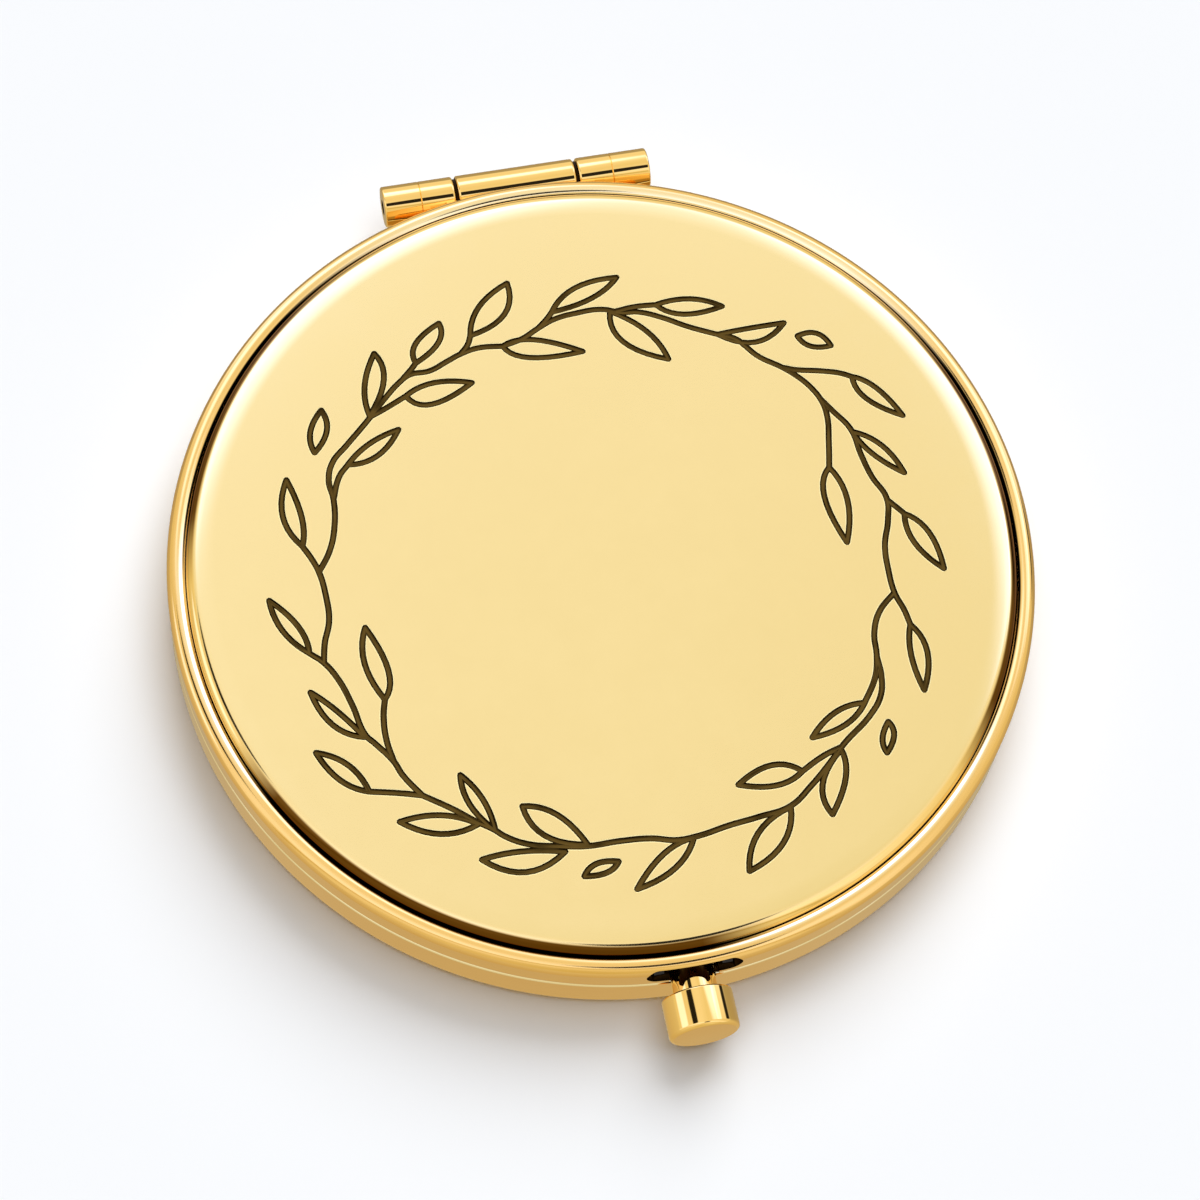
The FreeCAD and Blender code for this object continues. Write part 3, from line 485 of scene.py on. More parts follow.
def polish(piece):
    """Smooth shading that breaks at sharp edges and keeps the flats flat."""
    bpy.ops.object.select_all(action="DESELECT")
    bpy.context.view_layer.objects.active = piece
    piece.select_set(True)
    bpy.ops.object.shade_smooth_by_angle(angle=math.radians(SHARP_DEGREES))
    modifier = piece.modifiers.new("even_shading", "WEIGHTED_NORMAL")
    modifier.keep_sharp = True
    bpy.ops.object.modifier_apply(modifier="even_shading")


def hand_over(piece, body, slot, *nodes):
    """The finished piece rides on its body and stands for its CAD nodes."""
    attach(piece, body)
    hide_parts(*nodes)


def latch_relief():
    """The room behind the front rims where the latch moves: a slice of a disc."""
    relief = rod("latch_relief", POLISHED, RIM_IN, (0, 0, -1), (0, 0, LEDGE_Z), CASE_STEPS)
    trim(relief, [((LATCH_REACH, 0, 0), X), ((-LATCH_REACH, 0, 0), -X), ((0, -28.45, 0), Y)])
    return relief


def hinge_channel():
    """The channel that both rims leave for the hinge barrel."""
    # its faces leave painted shade in both rims
    return rod(
        "hinge_channel", HOLE_SHADE, 1.85, (-BARREL_END, HINGE_Y, HINGE_Z), (BARREL_END, HINGE_Y, HINGE_Z))


# The wreath, seen from above with the hinge at the top


# Stems run through their points.
STEMS = [
    [(-16.87, -16.23), (-18.00, -14.40), (-18.41, -13.31), (-19.54, -11.63), (-20.05, -10.94),
     (-20.59, -8.46), (-21.22, -6.32), (-22.05, -4.78), (-22.96, -3.85)],
    [(-16.87, -16.23), (-18.27, -15.81), (-20.58, -15.25)],
    [(-18.41, -13.31), (-18.64, -11.62), (-18.52, -9.72), (-18.19, -8.41)],
    [(-22.05, -4.78), (-21.72, -3.28), (-21.10, -1.57), (-20.98, 0.43), (-21.15, 2.43), (-21.48, 3.52),
     (-22.00, 4.71)],
    [(-21.15, 2.43), (-20.09, 3.95), (-19.38, 5.86), (-19.06, 8.07), (-19.14, 9.67), (-18.61, 11.08),
     (-17.33, 12.30), (-15.66, 13.83), (-13.79, 15.67), (-12.51, 16.79), (-11.62, 17.31), (-10.02, 17.39),
     (-8.53, 17.97), (-7.44, 18.39), (-6.04, 18.67), (-4.14, 18.50)],
    [(-19.06, 8.07), (-18.29, 9.88), (-17.51, 10.70)],
    [(-15.17, 14.34), (-14.08, 14.76), (-12.19, 15.60)],
    [(-12.12, 17.10), (-11.43, 17.71), (-10.93, 18.22)],
    [(-7.44, 18.39), (-6.75, 19.10), (-6.41, 19.81)],
    [(-4.14, 18.50), (-2.55, 18.88), (-1.16, 19.56), (0.13, 20.08), (1.83, 20.32), (3.93, 20.31),
     (5.44, 19.78), (6.64, 19.61), (8.25, 18.89), (10.17, 17.72), (11.88, 16.85), (13.65, 15.99),
     (14.11, 15.39), (14.93, 14.31), (16.55, 13.04), (17.46, 12.16), (18.38, 10.92), (18.90, 9.68),
     (19.02, 8.43), (18.65, 6.27), (18.19, 4.16)],
    [(-1.16, 19.56), (-0.37, 20.22), (0.12, 20.73)],
    [(5.03, 19.98), (6.53, 20.10), (8.13, 19.99)],
    [(16.55, 13.04), (17.55, 12.66), (19.36, 12.24), (20.87, 11.77), (21.68, 11.33)],
    [(18.80, 9.98), (19.51, 8.79), (20.54, 7.01), (20.83, 4.71), (21.21, 2.82), (21.89, 0.93),
     (21.57, -0.88), (20.85, -2.89), (20.63, -4.90), (20.66, -6.80), (21.04, -8.29), (21.21, -9.49)],
    [(21.84, 0.83), (22.45, 0.04), (22.92, -0.60)],
    [(20.61, -6.80), (19.18, -8.07), (18.41, -9.64), (18.14, -11.54), (17.66, -13.10), (16.39, -14.98)],
    [(18.14, -11.54), (18.11, -13.14), (17.69, -14.65), (16.61, -15.97), (14.19, -17.82), (12.66, -19.24),
     (11.08, -20.57), (9.20, -21.86), (6.76, -22.25), (4.56, -22.49), (2.02, -22.89), (0.52, -22.91),
     (-1.28, -22.45), (-3.48, -22.24), (-5.98, -22.18), (-7.89, -21.82), (-10.09, -21.26), (-11.61, -20.38),
     (-12.27, -19.75), (-13.53, -18.82), (-14.80, -17.74), (-16.87, -16.23)],
    [(13.84, -18.07), (12.45, -18.50), (10.66, -19.38)],
]

# Each leaf: its foot, one belly, its tip and the other belly.
LEAVES = [
    [(-22.00, 4.71), (-23.01, 7.34), (-22.24, 10.26), (-21.64, 7.02)],
    [(-17.51, 10.70), (-15.63, 12.13), (-13.25, 12.93), (-15.21, 11.04)],
    [(-15.17, 14.44), (-15.11, 16.94), (-13.90, 19.57), (-13.57, 17.27)],
    [(-12.19, 15.60), (-9.90, 16.34), (-7.05, 15.85), (-10.38, 14.58)],
    [(-10.93, 18.22), (-10.66, 19.83), (-8.58, 21.27), (-8.91, 19.66)],
    [(-6.41, 19.81), (-5.30, 22.13), (-2.78, 23.78), (-3.49, 21.17)],
    [(-4.14, 18.50), (-1.75, 18.65), (1.78, 17.01), (-2.32, 17.19)],
    [(0.12, 20.73), (2.29, 22.48), (5.64, 22.84), (3.41, 21.40)],
    [(4.53, 20.02), (4.98, 17.32), (8.11, 15.23), (6.97, 17.86)],
    [(8.13, 19.99), (10.83, 20.04), (13.15, 18.98), (10.05, 18.82)],
    [(12.29, 16.66), (14.69, 16.76), (17.54, 16.76), (15.01, 15.51)],
    [(21.68, 11.33), (23.30, 10.06), (24.74, 7.44), (22.31, 9.34)],
    [(18.19, 4.16), (17.27, 1.85), (18.09, -2.14), (18.93, 1.28)],
    [(20.65, 6.76), (22.57, 5.25), (23.71, 2.72), (21.68, 4.73)],
    [(22.92, -0.60), (24.39, -2.42), (24.79, -5.52), (23.10, -3.05)],
    [(21.21, -9.49), (21.94, -11.87), (20.99, -14.79), (20.69, -11.90)],
    [(16.39, -14.98), (14.10, -15.32), (11.97, -16.96), (14.61, -16.41)],
    [(10.66, -19.38), (8.55, -18.52), (5.82, -19.57), (8.58, -20.12)],
    [(13.84, -18.22), (13.68, -20.42), (12.07, -23.05), (11.88, -20.66)],
    [(9.20, -21.91), (6.43, -23.46), (5.17, -26.18), (8.05, -24.53)],
    [(1.77, -22.94), (-0.66, -23.78), (-3.07, -26.03), (-0.04, -24.97)],
    [(-5.88, -22.08), (-7.63, -19.41), (-9.94, -18.35), (-8.80, -20.83)],
    [(-7.58, -22.31), (-10.69, -21.72), (-13.58, -21.82), (-10.66, -23.32)],
    [(-12.21, -19.80), (-12.65, -17.30), (-13.89, -15.18), (-13.65, -17.52)],
    [(-13.32, -19.12), (-15.84, -17.96), (-18.84, -17.92), (-16.12, -19.37)],
    [(-20.58, -15.25), (-21.71, -12.97), (-23.83, -11.61), (-22.50, -13.99)],
    [(-18.19, -8.41), (-19.14, -5.33), (-18.59, -2.57), (-17.53, -6.20)],
    [(-20.15, -11.05), (-21.78, -8.68), (-23.41, -6.91), (-22.27, -9.69)],
    [(-22.96, -3.85), (-23.40, -1.61), (-25.14, 0.81), (-24.59, -1.73)],
    # four loose leaves
    [(-19.78, 12.11), (-19.81, 13.85), (-18.68, 15.53), (-18.56, 13.78)],
    [(18.31, 15.47), (19.81, 15.45), (20.68, 14.22), (19.12, 14.44)],
    [(17.77, -16.75), (17.04, -17.96), (17.11, -19.11), (17.94, -17.85)],
    [(-6.60, -24.39), (-5.56, -23.62), (-3.96, -23.74), (-4.95, -24.41)],
]


def draw_stroke(curve, points, handles=None):
    """Add a stroke through its points, smooth or with given handles, whose ends run out to a point."""
    path = [Vector(point) for point in points]
    first_way = ((handles[0] if handles else path[1]) - path[0]).normalized()
    last_way = (path[-1] - (handles[1] if handles else path[-2])).normalized()
    knots = [path[0] - first_way * LINE_END] + path + [path[-1] + last_way * LINE_END]
    spline = curve.splines.new("BEZIER")
    spline.bezier_points.add(len(knots) - 1)
    for knot, (x, y) in zip(spline.bezier_points, knots):
        knot.co = (x * MM, y * MM, 0)
        knot.handle_left_type = "AUTO"
        knot.handle_right_type = "AUTO"
    if handles:
        _, foot, tip, _ = spline.bezier_points
        for knot, before, after in ((foot, knots[0], handles[0]), (tip, handles[1], knots[3])):
            knot.handle_left_type = "FREE"
            knot.handle_right_type = "FREE"
            knot.handle_left = (before * MM).to_3d()
            knot.handle_right = (after * MM).to_3d()
    spline.bezier_points[0].radius = 0.15
    spline.bezier_points[-1].radius = 0.15


def stroke_section():
    """The engraver's section, drawn flat: a shallow step on both sides of a round groove, which the engraved
    material paints pale as a highlight.
    """
    half = [
        (0, LINE_DEPTH), (0.1, 0.105), (0.19, 0.06), (0.24, PALE_STEP_DEPTH), (0.3, PALE_STEP_DEPTH / 2), (0.34, -0.03)]
    points = [(x, -down) for x, down in half] + [(-x, -down) for x, down in reversed(half[1:])]
    bpy.ops.object.select_all(action="DESELECT")
    bpy.ops.curve.primitive_bezier_curve_add()
    section = bpy.context.object
    section.name = "stroke_section"
    section.data.dimensions = "2D"
    section.data.splines.clear()
    line = section.data.splines.new("POLY")
    line.points.add(len(points) - 1)
    line.use_cyclic_u = True
    for point, (x, y) in zip(line.points, points):
        point.co = (x * MM, y * MM, 0, 1)
    return section


def wreath_tool():
    """The engraver's strokes as bars that lie in the lid's top."""
    section = stroke_section()
    bpy.ops.object.select_all(action="DESELECT")
    bpy.ops.curve.primitive_bezier_curve_add()
    tool = bpy.context.object
    tool.name = "wreath_strokes"
    tool.data.splines.clear()
    for points in STEMS:
        draw_stroke(tool.data, points)
    for foot, belly, tip, other_belly in LEAVES:
        foot = Vector(foot)
        tip = Vector(tip)
        for side in (belly, other_belly):
            # one even bow from foot to tip that passes through the belly halfway
            pull = Vector(side) * 2 - (foot + tip) / 2
            draw_stroke(tool.data, (foot, tip), (foot.lerp(pull, 2 / 3), tip.lerp(pull, 2 / 3)))
    tool.data.resolution_u = 10
    tool.data.twist_mode = "Z_UP"
    tool.data.bevel_mode = "OBJECT"
    tool.data.bevel_object = section
    tool.data.use_fill_caps = True
    bpy.ops.object.convert(target="MESH")
    tool = bpy.context.object
    tool.location = (WREATH_RIGHT * MM, WREATH_BACK * MM, LID_TOP * MM)
    bpy.ops.object.transform_apply(location=True, rotation=True, scale=True)
    bpy.data.objects.remove(section)
    edit(tool)
    bpy.ops.mesh.select_all(action="SELECT")
    bpy.ops.mesh.remove_doubles(threshold=0.0001 * MM)
    bpy.ops.mesh.normals_make_consistent(inside=False)
    bpy.ops.object.mode_set(mode="OBJECT")
    tool.data.materials.clear()
    tool.data.materials.append(ENGRAVED)
    return tool


def make_lid_cover():
    """The engraved top: a drawn sheet whose edge falls away slowly, then rounds over to a short skirt."""
    flat, ease, ease_radius, shoulder = 28.9, 3.5, 21.2, 1.012
    skirt_out, skirt_in = 31.144, 30.644
    lean = math.radians(ease)
    brow = (flat + ease_radius * math.sin(lean), LID_TOP - ease_radius * (1 - math.cos(lean)))
    cover = turned("engraved_cover", BUFFED, CASE, (flat, LID_TOP), [
        (flat, LID_TOP - ease_radius, -ease),
        (brow[0] - shoulder * math.sin(lean), brow[1] - shoulder * math.cos(lean), ease - 90),
        (skirt_out, LEDGE_Z), (skirt_in, LEDGE_Z), (skirt_in, COVER_UNDER_Z), (flat, COVER_UNDER_Z)],
        CASE_STEPS)
    close_ends(cover)
    combine(cover, wreath_tool(), "DIFFERENCE", overlapping=True)
    polish(cover)
    hand_over(cover, "lid", "gold_plate", "lid_cover")


def make_lid_frame():
    """The lid's beaded rim, with its ledge inside and the latch window in front."""
    rim = turned("beaded_lid_rim", SATIN, CASE, (RIM_IN, 4.25), [
        (32.3, 4.25), (32.3, 4.45, 90), (RIM_OUT, 6.05), (31.7, 6.05, 129.2), (31.194, LEDGE_Z),
        (30.0, LEDGE_Z), (30.0, 5.1), (RIM_IN, 5.1), (RIM_IN, 4.25)], CASE_STEPS)
    # the lower edge, which faces the seam, painted brown as painted shade
    paint(rim, SEAM_SHADE, lambda x, y, z: math.hypot(x, y) > 32.29 and z < 4.46)
    # the window, the slot and the hook room are lined with painted shade
    for name, material, layout, radius, steps in (
            ("lip_tool", POLISHED, LIP, 1.6, 96), ("window_tool", HOLE_SHADE, WINDOW, 0.9, 64)):
        tool = turned(name, material, layout, (WINDOW_REACH + radius, 0), [
            (WINDOW_REACH, 0, 90), (-WINDOW_REACH, radius), (-WINDOW_REACH, 0, 90)], steps)
        combine(rim, tool, "DIFFERENCE")
    combine(rim, block("slot_tool", HOLE_SHADE, (-1.85, -33.4, 4.15), (1.85, -30.7, 5.45)), "DIFFERENCE")
    combine(rim, block("hook_room", HOLE_SHADE, (-3.05, -32.35, 4.87), (3.05, -31.45, 5.77)), "DIFFERENCE")
    combine(rim, latch_relief(), "DIFFERENCE")
    combine(rim, hinge_channel(), "DIFFERENCE")
    polish(rim)
    hand_over(rim, "lid", "gold_plate", "lid_frame")


def make_lid_bezel():
    """The ring that holds the lid's flat mirror."""
    bezel = turned("flat_mirror_bezel", POLISHED, CASE, (26.55, 4.35), [
        (RING_OUT, 4.35), (RING_OUT, 5.1), (BEZEL_WALL_IN, 5.1), (BEZEL_WALL_IN, FLAT_MIRROR_Z),
        (BEZEL_CUP_OUT, FLAT_MIRROR_Z), (BEZEL_CUP_OUT, FLAT_MIRROR_TOP), (BEZEL_CUP_IN, FLAT_MIRROR_TOP),
        (BEZEL_CUP_IN, FLAT_MIRROR_Z), (BEZEL_LIP_IN, FLAT_MIRROR_Z), (BEZEL_LIP_IN, 4.6),
        (26.55, 4.6, 90)], CASE_STEPS)
    combine(bezel, latch_relief(), "DIFFERENCE")
    polish(bezel)
    hand_over(bezel, "lid", "gold_plate", "lid_bezel")


def make_lid_mirror():
    """Flat silvered glass with a ground edge."""
    glass = rod(
        "flat_mirror", SILVERED, GLASS_OUT, (0, 0, FLAT_MIRROR_Z), (0, 0, FLAT_MIRROR_TOP), CASE_STEPS)
    bevel_edges(glass, 0.12, 1, lambda x, y, z: z < FLAT_MIRROR_Z + 0.01)
    bevel_edges(glass, 0.12, 1, lambda x, y, z: z > FLAT_MIRROR_TOP - 0.01)
    polish(glass)
    hand_over(glass, "lid", "mirror_glass", "lid_mirror")


def make_lid_mirror_pad():
    """The felt between the flat mirror and the cover."""
    pad = rod("flat_mirror_felt", FELT, PAD_OUT, (0, 0, FLAT_MIRROR_TOP), (0, 0, COVER_UNDER_Z), CASE_STEPS)
    bevel_edges(pad, 0.15, 3, lambda x, y, z: z > COVER_UNDER_Z - 0.01)
    polish(pad)
    hand_over(pad, "lid", "felt", "lid_mirror_pad")


def make_base_frame():
    """The base's rim, rounded below, with the seat of the button tube in front."""
    rim = turned("base_rim", SATIN, CASE, (29.4, 0.25), [
        (31.7, 0.25), (31.7, 1.05, 90), (RIM_OUT, 3.95), (32.3, 3.95, 90), (RIM_IN, 4.15),
        (RIM_IN, FLANGE_TOP), (29.4, FLANGE_TOP), (29.4, 0.25)], CASE_STEPS)
    # the upper edge, which faces the seam, painted pale as a painted highlight
    paint(rim, SEAM_HIGHLIGHT, lambda x, y, z: math.hypot(x, y) > 32.29 and z > 3.94)
    # the button tube's seat is lined with painted shade
    combine(rim, rod("seat_tool", HOLE_SHADE, 1.66, (0, -33.4, BUTTON_Z), (0, -30.7, BUTTON_Z)), "DIFFERENCE")
    combine(rim, block("seat_slot", HOLE_SHADE, (-1.66, -33.4, BUTTON_Z), (1.66, -30.7, 4.25)), "DIFFERENCE")
    combine(rim, hinge_channel(), "DIFFERENCE")
    polish(rim)
    hand_over(rim, "base", "gold_plate", "base_frame")


def make_base_cover():
    """The bottom plate, a drawn pan with a brim that sits on the rim's flange."""
    pan = turned("bottom_plate", POLISHED, CASE, (0, 0), [
        (29.05, 0), (29.05, 0.3, 90), (29.35, FLANGE_TOP), (RING_OUT, FLANGE_TOP), (RING_OUT, 1.2),
        (28.85, 1.2), (28.85, PAN_FLOOR_Z), (0, PAN_FLOOR_Z)], CASE_STEPS)
    polish(pan)
    hand_over(pan, "base", "gold_plate", "base_cover")


def make_base_bezel():
    """The ring that holds the base's magnifying mirror."""
    bezel = turned("magnifier_bezel", POLISHED, CASE, (BEZEL_LIP_IN, MAGNIFIER_TOP), [
        (BEZEL_CUP_IN, MAGNIFIER_TOP), (BEZEL_CUP_IN, 2.45), (BEZEL_CUP_OUT, 2.45),
        (BEZEL_CUP_OUT, MAGNIFIER_TOP), (BEZEL_WALL_IN, MAGNIFIER_TOP), (BEZEL_WALL_IN, 1.2),
        (RING_OUT, 1.2), (RING_OUT, 4.05), (26.55, 4.05), (26.55, 3.8, 90),
        (BEZEL_LIP_IN, MAGNIFIER_TOP)], CASE_STEPS)
    combine(bezel, latch_relief(), "DIFFERENCE")
    polish(bezel)
    hand_over(bezel, "base", "gold_plate", "base_bezel")


def make_base_mirror():
    """Hollow silvered glass, which magnifies."""
    middle = MAGNIFIER_Z + MAGNIFIER_RADIUS
    glass = turned("magnifying_mirror", SILVERED, CASE, (0, MAGNIFIER_Z), [
        (0, middle, MAGNIFIER_TURN), (GLASS_OUT, MAGNIFIER_TOP),
        (0, middle + MAGNIFIER_THICKNESS, -MAGNIFIER_TURN)], CASE_STEPS)
    polish(glass)
    hand_over(glass, "base", "mirror_glass", "base_mirror")


def make_base_mirror_pad():
    """The felt between the bottom plate and the magnifying mirror, hollow above like the glass."""
    turn = math.degrees(math.asin(PAD_OUT / MAGNIFIER_RADIUS))
    rise = MAGNIFIER_RADIUS * (1 - math.cos(math.radians(turn)))
    pad = turned("magnifier_felt", FELT, CASE, (0, PAN_FLOOR_Z), [
        (PAD_OUT, PAN_FLOOR_Z), (PAD_OUT, MAGNIFIER_Z + rise),
        (0, MAGNIFIER_Z + MAGNIFIER_RADIUS, -turn)], CASE_STEPS)
    polish(pad)
    hand_over(pad, "base", "felt", "base_mirror_pad")


def make_lid_knuckle():
    """The middle of the hinge barrel, on a web to the lid's rim, with a shoulder at each end painted dark as
    painted shade.
    """
    end = LID_KNUCKLE_END
    knuckle = turned("lid_hinge_knuckle", POLISHED, HINGE, (-end, 0.65), [
        (end, 0.65), (end, 1.38), (4.7, 1.38), (4.7, 1.42), (4.52, 1.42, 90), (-4.52, BARREL_RADIUS),
        (-4.52, 1.42, 90), (-4.7, 1.38), (-end, 1.38), (-end, 0.65)], BARREL_STEPS)
    # painted shade on the knuckle's ends, in the gaps between knuckles
    paint(knuckle, HOLE_SHADE, lambda x, y, z: abs(x) > 4.69)
    combine(knuckle, block("lid_web", POLISHED, (-4.7, 31.65, 4.28), (4.7, 32.7, 5.2)), "UNION")
    polish(knuckle)
    hand_over(knuckle, "lid", "gold_plate", "lid_knuckle")


def make_base_knuckle(side, way):
    """A knuckle beside it, on a web to the base's rim."""
    inner = BASE_KNUCKLE_START * way
    outer = HINGE_CAP_START * way
    knuckle = turned("base_hinge_knuckle_" + side, POLISHED, HINGE, (inner, PIN_BORE), [
        (outer, PIN_BORE), (outer, 1.55), (7.6 * way, BARREL_RADIUS), (5.13 * way, BARREL_RADIUS),
        (5.13 * way, 1.42, 90 * way), (inner, PIN_BORE)], BARREL_STEPS)
    left, right = sorted((inner, outer))
    web = block("base_web_" + side, POLISHED, (left, 31.3, 2.77), (right, 32.7, 4.12))
    combine(knuckle, web, "UNION")
    polish(knuckle)
    hand_over(knuckle, "base", "gold_plate", "base_knuckle_" + side)


def make_hinge_cap(side, way):
    """The barrel's end, with the pin's recess."""
    inner = HINGE_CAP_START * way
    outer = BARREL_END * way
    cap = turned("hinge_end_" + side, POLISHED, HINGE, (inner, PIN_BORE), [
        (outer, PIN_BORE), (outer, 1.45), (10.45 * way, 1.45, 90 * way), (7.7 * way, BARREL_RADIUS),
        (inner, 1.55), (inner, PIN_BORE)], BARREL_STEPS)
    polish(cap)
    hand_over(cap, "base", "gold_plate", "hinge_cap_" + side)


def make_hinge_pin():
    """The pin, whose chamfered ends lie in the recesses of the barrel's ends."""
    # the pin's blued steel is dark partly as painted shade for the hinge's gaps
    pin = turned("hinge_pin_wire", BLUED_AND_SHADED, HINGE, (-10.1, 0), [
        (-10.1, 0.45), (-9.95, 0.6), (9.95, 0.6), (10.1, 0.45), (10.1, 0)], 48)
    polish(pin)
    hand_over(pin, "base", "steel", "hinge_pin")


def make_button_tube():
    """The neck behind the button, flanged inside the rim."""
    tube = turned("button_neck", POLISHED, BUTTON, (0.65, NECK_BACK), [
        (1.65, NECK_BACK), (1.65, 34.8), (1.3, 34.8), (1.3, 31.4), (0.65, 31.4), (0.65, NECK_BACK)],
        BARREL_STEPS)
    flange = turned("neck_flange", POLISHED, BUTTON, (1.4, NECK_BACK), [
        (2.1, NECK_BACK), (2.1, 31.53), (1.4, 31.53), (1.4, NECK_BACK)], BARREL_STEPS)
    trim(flange, [((0, 0, 4.05), Z), ((0, 0, 1.25), -Z)])
    combine(tube, flange, "UNION")
    polish(tube)
    hand_over(tube, "base", "gold_plate", "button_tube")


def make_button_cap():
    """The push button, a turned cap that slides over its neck."""
    cap = turned("push_button", POLISHED, BUTTON, (0, 36.25), [
        (0.6, 36.25), (0.6, 35.8), (1.8, 35.8), (1.8, 33.6), (2.45, 33.6), (2.45, 33.75, 90),
        (2.6, 36.25), (2.25, 36.25, 90), (0, 36.6)], BARREL_STEPS)
    paint(cap, SATIN, lambda x, y, z: y < -36.59)
    polish(cap)
    hand_over(cap, "button", "gold_plate", "button_cap")


def make_button_spring():
    """The return spring: a wire circle screwed along the button's axis."""
    first, last, turns = 31.58, 35.62, 5
    wire_radius, coil_radius = 0.15, 0.97
    bpy.ops.object.select_all(action="DESELECT")
    bpy.ops.mesh.primitive_circle_add(
        vertices=16, radius=wire_radius * MM, location=(coil_radius * MM, 0, 0),
        rotation=(math.pi / 2, 0, 0), fill_type="NOTHING")
    spring = begin(bpy.context.object, "return_spring", STEEL)
    coil = spring.modifiers.new("coil", "SCREW")
    coil.angle = math.tau * turns
    coil.screw_offset = (last - first) * MM
    coil.steps = 32 * turns
    coil.render_steps = 32 * turns
    bpy.ops.object.modifier_apply(modifier="coil")
    spring.rotation_euler = (math.pi / 2, 0, 0)
    spring.location = (0, -first * MM, BUTTON_Z * MM)
    bpy.ops.object.transform_apply(location=True, rotation=True, scale=True)
    close_ends(spring)
    polish(spring)
    hand_over(spring, "base", "steel", "button_spring")
    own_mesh(spring)


def dress_latch():
    """The latch plate, its shaft and its clip keep their CAD shapes; the plate is blued steel."""
    for name, steel in (("latch_plate", BLUED_AND_SHADED), ("button_shaft", STEEL), ("shaft_clip", STEEL)):
        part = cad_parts[name]
        part.data.materials.clear()
        part.data.materials.append(steel)


make_lid_cover()
make_lid_frame()
make_lid_bezel()
make_lid_mirror()
make_lid_mirror_pad()
make_base_frame()
make_base_cover()
make_base_bezel()
make_base_mirror()
make_base_mirror_pad()
make_lid_knuckle()
for side, way in (("left", -1), ("right", 1)):
    make_base_knuckle(side, way)
    make_hinge_cap(side, way)
make_hinge_pin()
make_button_tube()
make_button_cap()
make_button_spring()
dress_latch()


# Table, light and camera


TABLE_RADIUS = 3000

CAMERA_TURN = math.radians(19.75)
CAMERA_HEIGHT = math.radians(66.33)
CAMERA_ROLL = math.radians(8.75)
CAMERA_AWAY = 274.9
# how far the camera stands to the right of the middle of the compact, and below it
CAMERA_ASIDE = 0.1
CAMERA_DOWN = 0.47

# The studio's brightness along a level direction, from -1 at one horizon to 1 at the other.
LEFT_TO_RIGHT = [
    (-1.0, 0.8), (-0.88, 0.84), (-0.74, 0.92), (-0.5, 1.0), (-0.3, 1.06), (-0.16, 1.06), (0.0, 1.0),
    (0.12, 0.94), (0.3, 0.94), (0.5, 1.0), (0.74, 0.96), (0.88, 0.87), (1.0, 0.82)]
FRONT_TO_BACK = [
    (-1.0, 0.7), (-0.9, 0.76), (-0.74, 0.95), (-0.64, 0.9), (-0.59, 0.6), (-0.54, 1.0), (-0.46, 1.3),
    (-0.3, 1.25), (-0.1, 1.1), (0.05, 1.0), (0.2, 0.97), (0.4, 1.0), (0.48, 1.02), (0.53, 1.1), (0.57, 1.2),
    (0.61, 1.28), (0.65, 1.36), (0.69, 1.5), (0.77, 1.5), (0.82, 1.1), (0.88, 0.95), (1.0, 0.95)]
# Round lamps and flags: the way to each as right, back and up, then its full and its outer angle in degrees.
COOL_LAMPS = [
    ((-0.33, 0.6, 0.73), 11, 19), ((0.33, 0.6, 0.73), 11, 19), ((0.6, 0.5, 0.63), 5, 10),
    ((-0.92, -0.05, 0.39), 9, 14)]
COOL_LIGHT = (0.4, 0.65, 1.8)
DARK_FLAGS = [((-0.54, 0.09, 0.84), 7, 10), ((0.81, 0.57, 0.14), 5, 9), ((0.22, -0.25, 0.94), 8, 11)]
FLAG_SHADE = 0.98
# The card as the gold mirrors it: straight down, level, and how much of that is left behind the compact.
CARD_DOWN = (0.63, 0.53, 0.32, 1)
CARD_LEVEL = (0.78, 0.74, 0.62, 1)
CARD_BEHIND = 0.6


def table_top():
    """Matt white card under studio light."""
    material, tree = new_material("white_card")
    close_material(tree, add_node(tree, "ShaderNodeBsdfDiffuse", {"Color": linear("f2f4f7")}))
    return material


bpy.ops.object.select_all(action="DESELECT")
bpy.ops.mesh.primitive_circle_add(vertices=96, radius=TABLE_RADIUS * MM, fill_type="NGON")
table = bpy.context.object
table.name = "table"
table.data.materials.append(table_top())
# the gold mirrors the studio's own card instead
table.visible_glossy = False


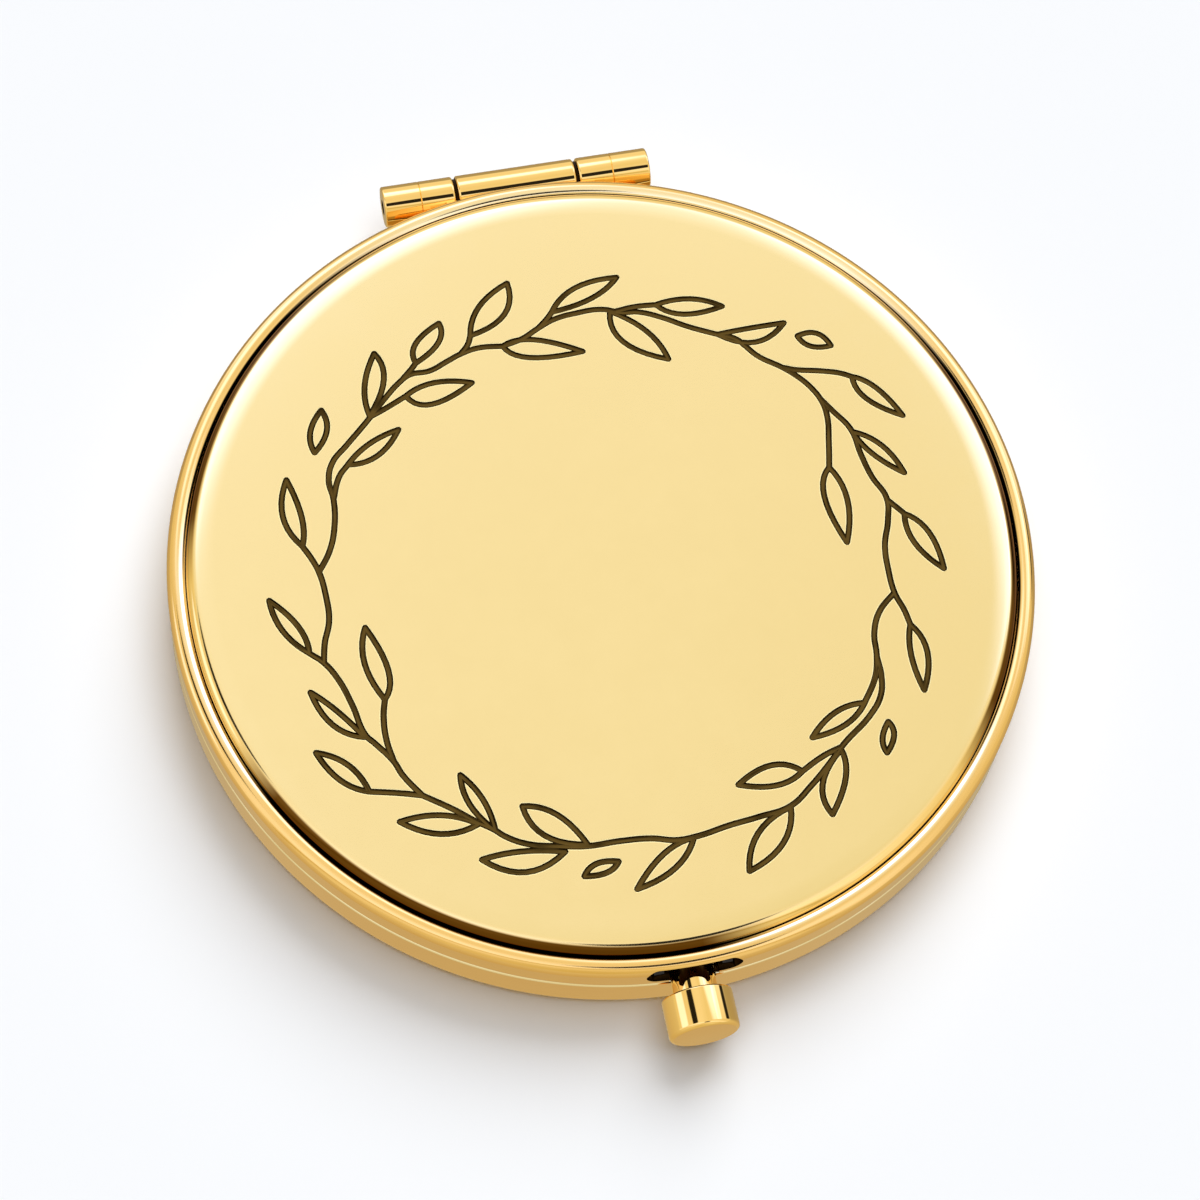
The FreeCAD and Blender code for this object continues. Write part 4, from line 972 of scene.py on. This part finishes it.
def studio_light():
    """A studio as polished gold mirrors it: its brightness from left to right times that from front to back."""
    world = bpy.data.worlds.new("studio")
    bpy.context.scene.world = world
    world.use_nodes = True
    tree = world.node_tree
    tree.nodes.clear()
    way = add_node(tree, "ShaderNodeTexCoord").outputs["Generated"]

    def along(right, back, high=0):
        """How far a ray goes along one direction: right, back and up as the camera stands."""
        direction = (
            right * math.cos(CAMERA_TURN) + back * math.sin(CAMERA_TURN),
            back * math.cos(CAMERA_TURN) - right * math.sin(CAMERA_TURN), high)
        share = add_node(tree, "ShaderNodeVectorMath", {0: way, 1: direction}, operation="DOT_PRODUCT")
        return share.outputs["Value"]

    def profile(share, stops):
        """Brightness by how far a ray goes along one level direction."""
        spot = add_node(tree, "ShaderNodeMapRange", {"Value": share, "From Min": -1, "From Max": 1})
        ramp = add_node(tree, "ShaderNodeValToRGB", {"Fac": spot.outputs["Result"]})
        ramp.color_ramp.interpolation = "EASE"
        # warm where the studio is dim, cool where it is bright
        set_stops(ramp, [((at + 1) / 2, (level ** 0.75, level, level ** 2.2, 1)) for at, level in stops])
        return ramp.outputs["Color"]

    def lamp(toward, inner, outer, level):
        """A round soft spot in one direction."""
        spot = add_node(tree, "ShaderNodeMapRange", {
            "Value": along(*Vector(toward).normalized()), "From Min": math.cos(math.radians(outer)),
            "From Max": math.cos(math.radians(inner)), "To Max": level}, interpolation_type="SMOOTHSTEP")
        return spot.outputs["Result"]

    back = along(0, 1)
    above = add_node(tree, "ShaderNodeVectorMath", {
        0: profile(along(1, 0), LEFT_TO_RIGHT), 1: profile(back, FRONT_TO_BACK)}, operation="MULTIPLY")
    # cool lamps behind and one low on the left
    for toward, inner, outer in COOL_LAMPS:
        cool = add_node(tree, "ShaderNodeVectorMath", {
            0: COOL_LIGHT, "Scale": lamp(toward, inner, outer, 1)}, operation="SCALE")
        above = add_node(tree, "ShaderNodeVectorMath", {
            0: above.outputs["Vector"], 1: cool.outputs["Vector"]}, operation="ADD")
    # dark flags, which polished gold needs to look like metal
    for toward, inner, outer in DARK_FLAGS:
        shade = add_node(tree, "ShaderNodeMath", {
            0: 1, 1: lamp(toward, inner, outer, FLAG_SHADE)}, operation="SUBTRACT")
        above = add_node(tree, "ShaderNodeVectorMath", {
            0: above.outputs["Vector"], "Scale": shade.outputs["Value"]}, operation="SCALE")
    # below the horizon the gold mirrors the card, which is warm and dimmer close to the compact and behind it
    high = add_node(tree, "ShaderNodeSeparateXYZ", {"Vector": way}).outputs["Z"]
    near_level = add_node(tree, "ShaderNodeMapRange", {"Value": high, "From Min": -1, "From Max": 0})
    card = add_node(tree, "ShaderNodeValToRGB", {"Fac": near_level.outputs["Result"]})
    set_stops(card, [(0, CARD_DOWN), (1, CARD_LEVEL)])
    behind = add_node(tree, "ShaderNodeMapRange", {
        "Value": back, "From Min": 0, "From Max": 0.6, "To Min": 1, "To Max": CARD_BEHIND})
    below = add_node(tree, "ShaderNodeVectorMath", {
        0: card.outputs["Color"], "Scale": behind.outputs["Result"]}, operation="SCALE")
    horizon = add_node(tree, "ShaderNodeMapRange", {
        "Value": high, "From Min": -0.05, "From Max": 0.1}, interpolation_type="SMOOTHSTEP")
    mirrored = add_node(tree, "ShaderNodeMix", {
        "Factor": horizon.outputs["Result"], "A": below.outputs["Vector"], "B": above.outputs["Vector"]},
        data_type="RGBA")
    light = add_node(tree, "ShaderNodeBackground", {"Color": mirrored.outputs["Result"]})
    add_node(tree, "ShaderNodeOutputWorld", {"Surface": light.outputs["Background"]})
    # the studio is only mirrored in the gold; two lamps light the card
    world.cycles_visibility.diffuse = False


def add_lamp(name, around, height, spread, strength):
    """A far, wide, soft lamp, turned round from the camera's right and raised by degrees."""
    turn = math.radians(around) - CAMERA_TURN
    lift = math.radians(height)
    toward = Vector((math.cos(turn) * math.cos(lift), math.sin(turn) * math.cos(lift), math.sin(lift)))
    bpy.ops.object.light_add(type="SUN", location=toward)
    lamp = bpy.context.object
    lamp.name = name
    lamp.data.angle = math.radians(spread)
    lamp.data.energy = strength
    lamp.rotation_euler = (-toward).to_track_quat("-Z", "Y").to_euler()
    lamp.visible_glossy = False


studio_light()
add_lamp("key_softbox", 80, 45, 46, 2.38)
add_lamp("overhead_softbox", 80, 85, 60, 1.69)

bpy.ops.object.camera_add()
camera = bpy.context.object
bpy.context.scene.camera = camera
camera.data.sensor_width = 36
camera.data.lens = 108.03
camera.data.clip_start = 0.01
stand = Vector((-math.sin(CAMERA_TURN) * math.cos(CAMERA_HEIGHT),
                -math.cos(CAMERA_TURN) * math.cos(CAMERA_HEIGHT), math.sin(CAMERA_HEIGHT)))
level_right = Vector((math.cos(CAMERA_TURN), -math.sin(CAMERA_TURN), 0))
level_up = stand.cross(level_right)
right = level_right * math.cos(CAMERA_ROLL) + level_up * math.sin(CAMERA_ROLL)
up = level_up * math.cos(CAMERA_ROLL) - level_right * math.sin(CAMERA_ROLL)
camera.matrix_world = Matrix((right, up, stand)).transposed().to_4x4()
camera.location = (stand * CAMERA_AWAY + right * CAMERA_ASIDE - up * CAMERA_DOWN) * MM

bpy.context.scene.view_settings.view_transform = "Standard"
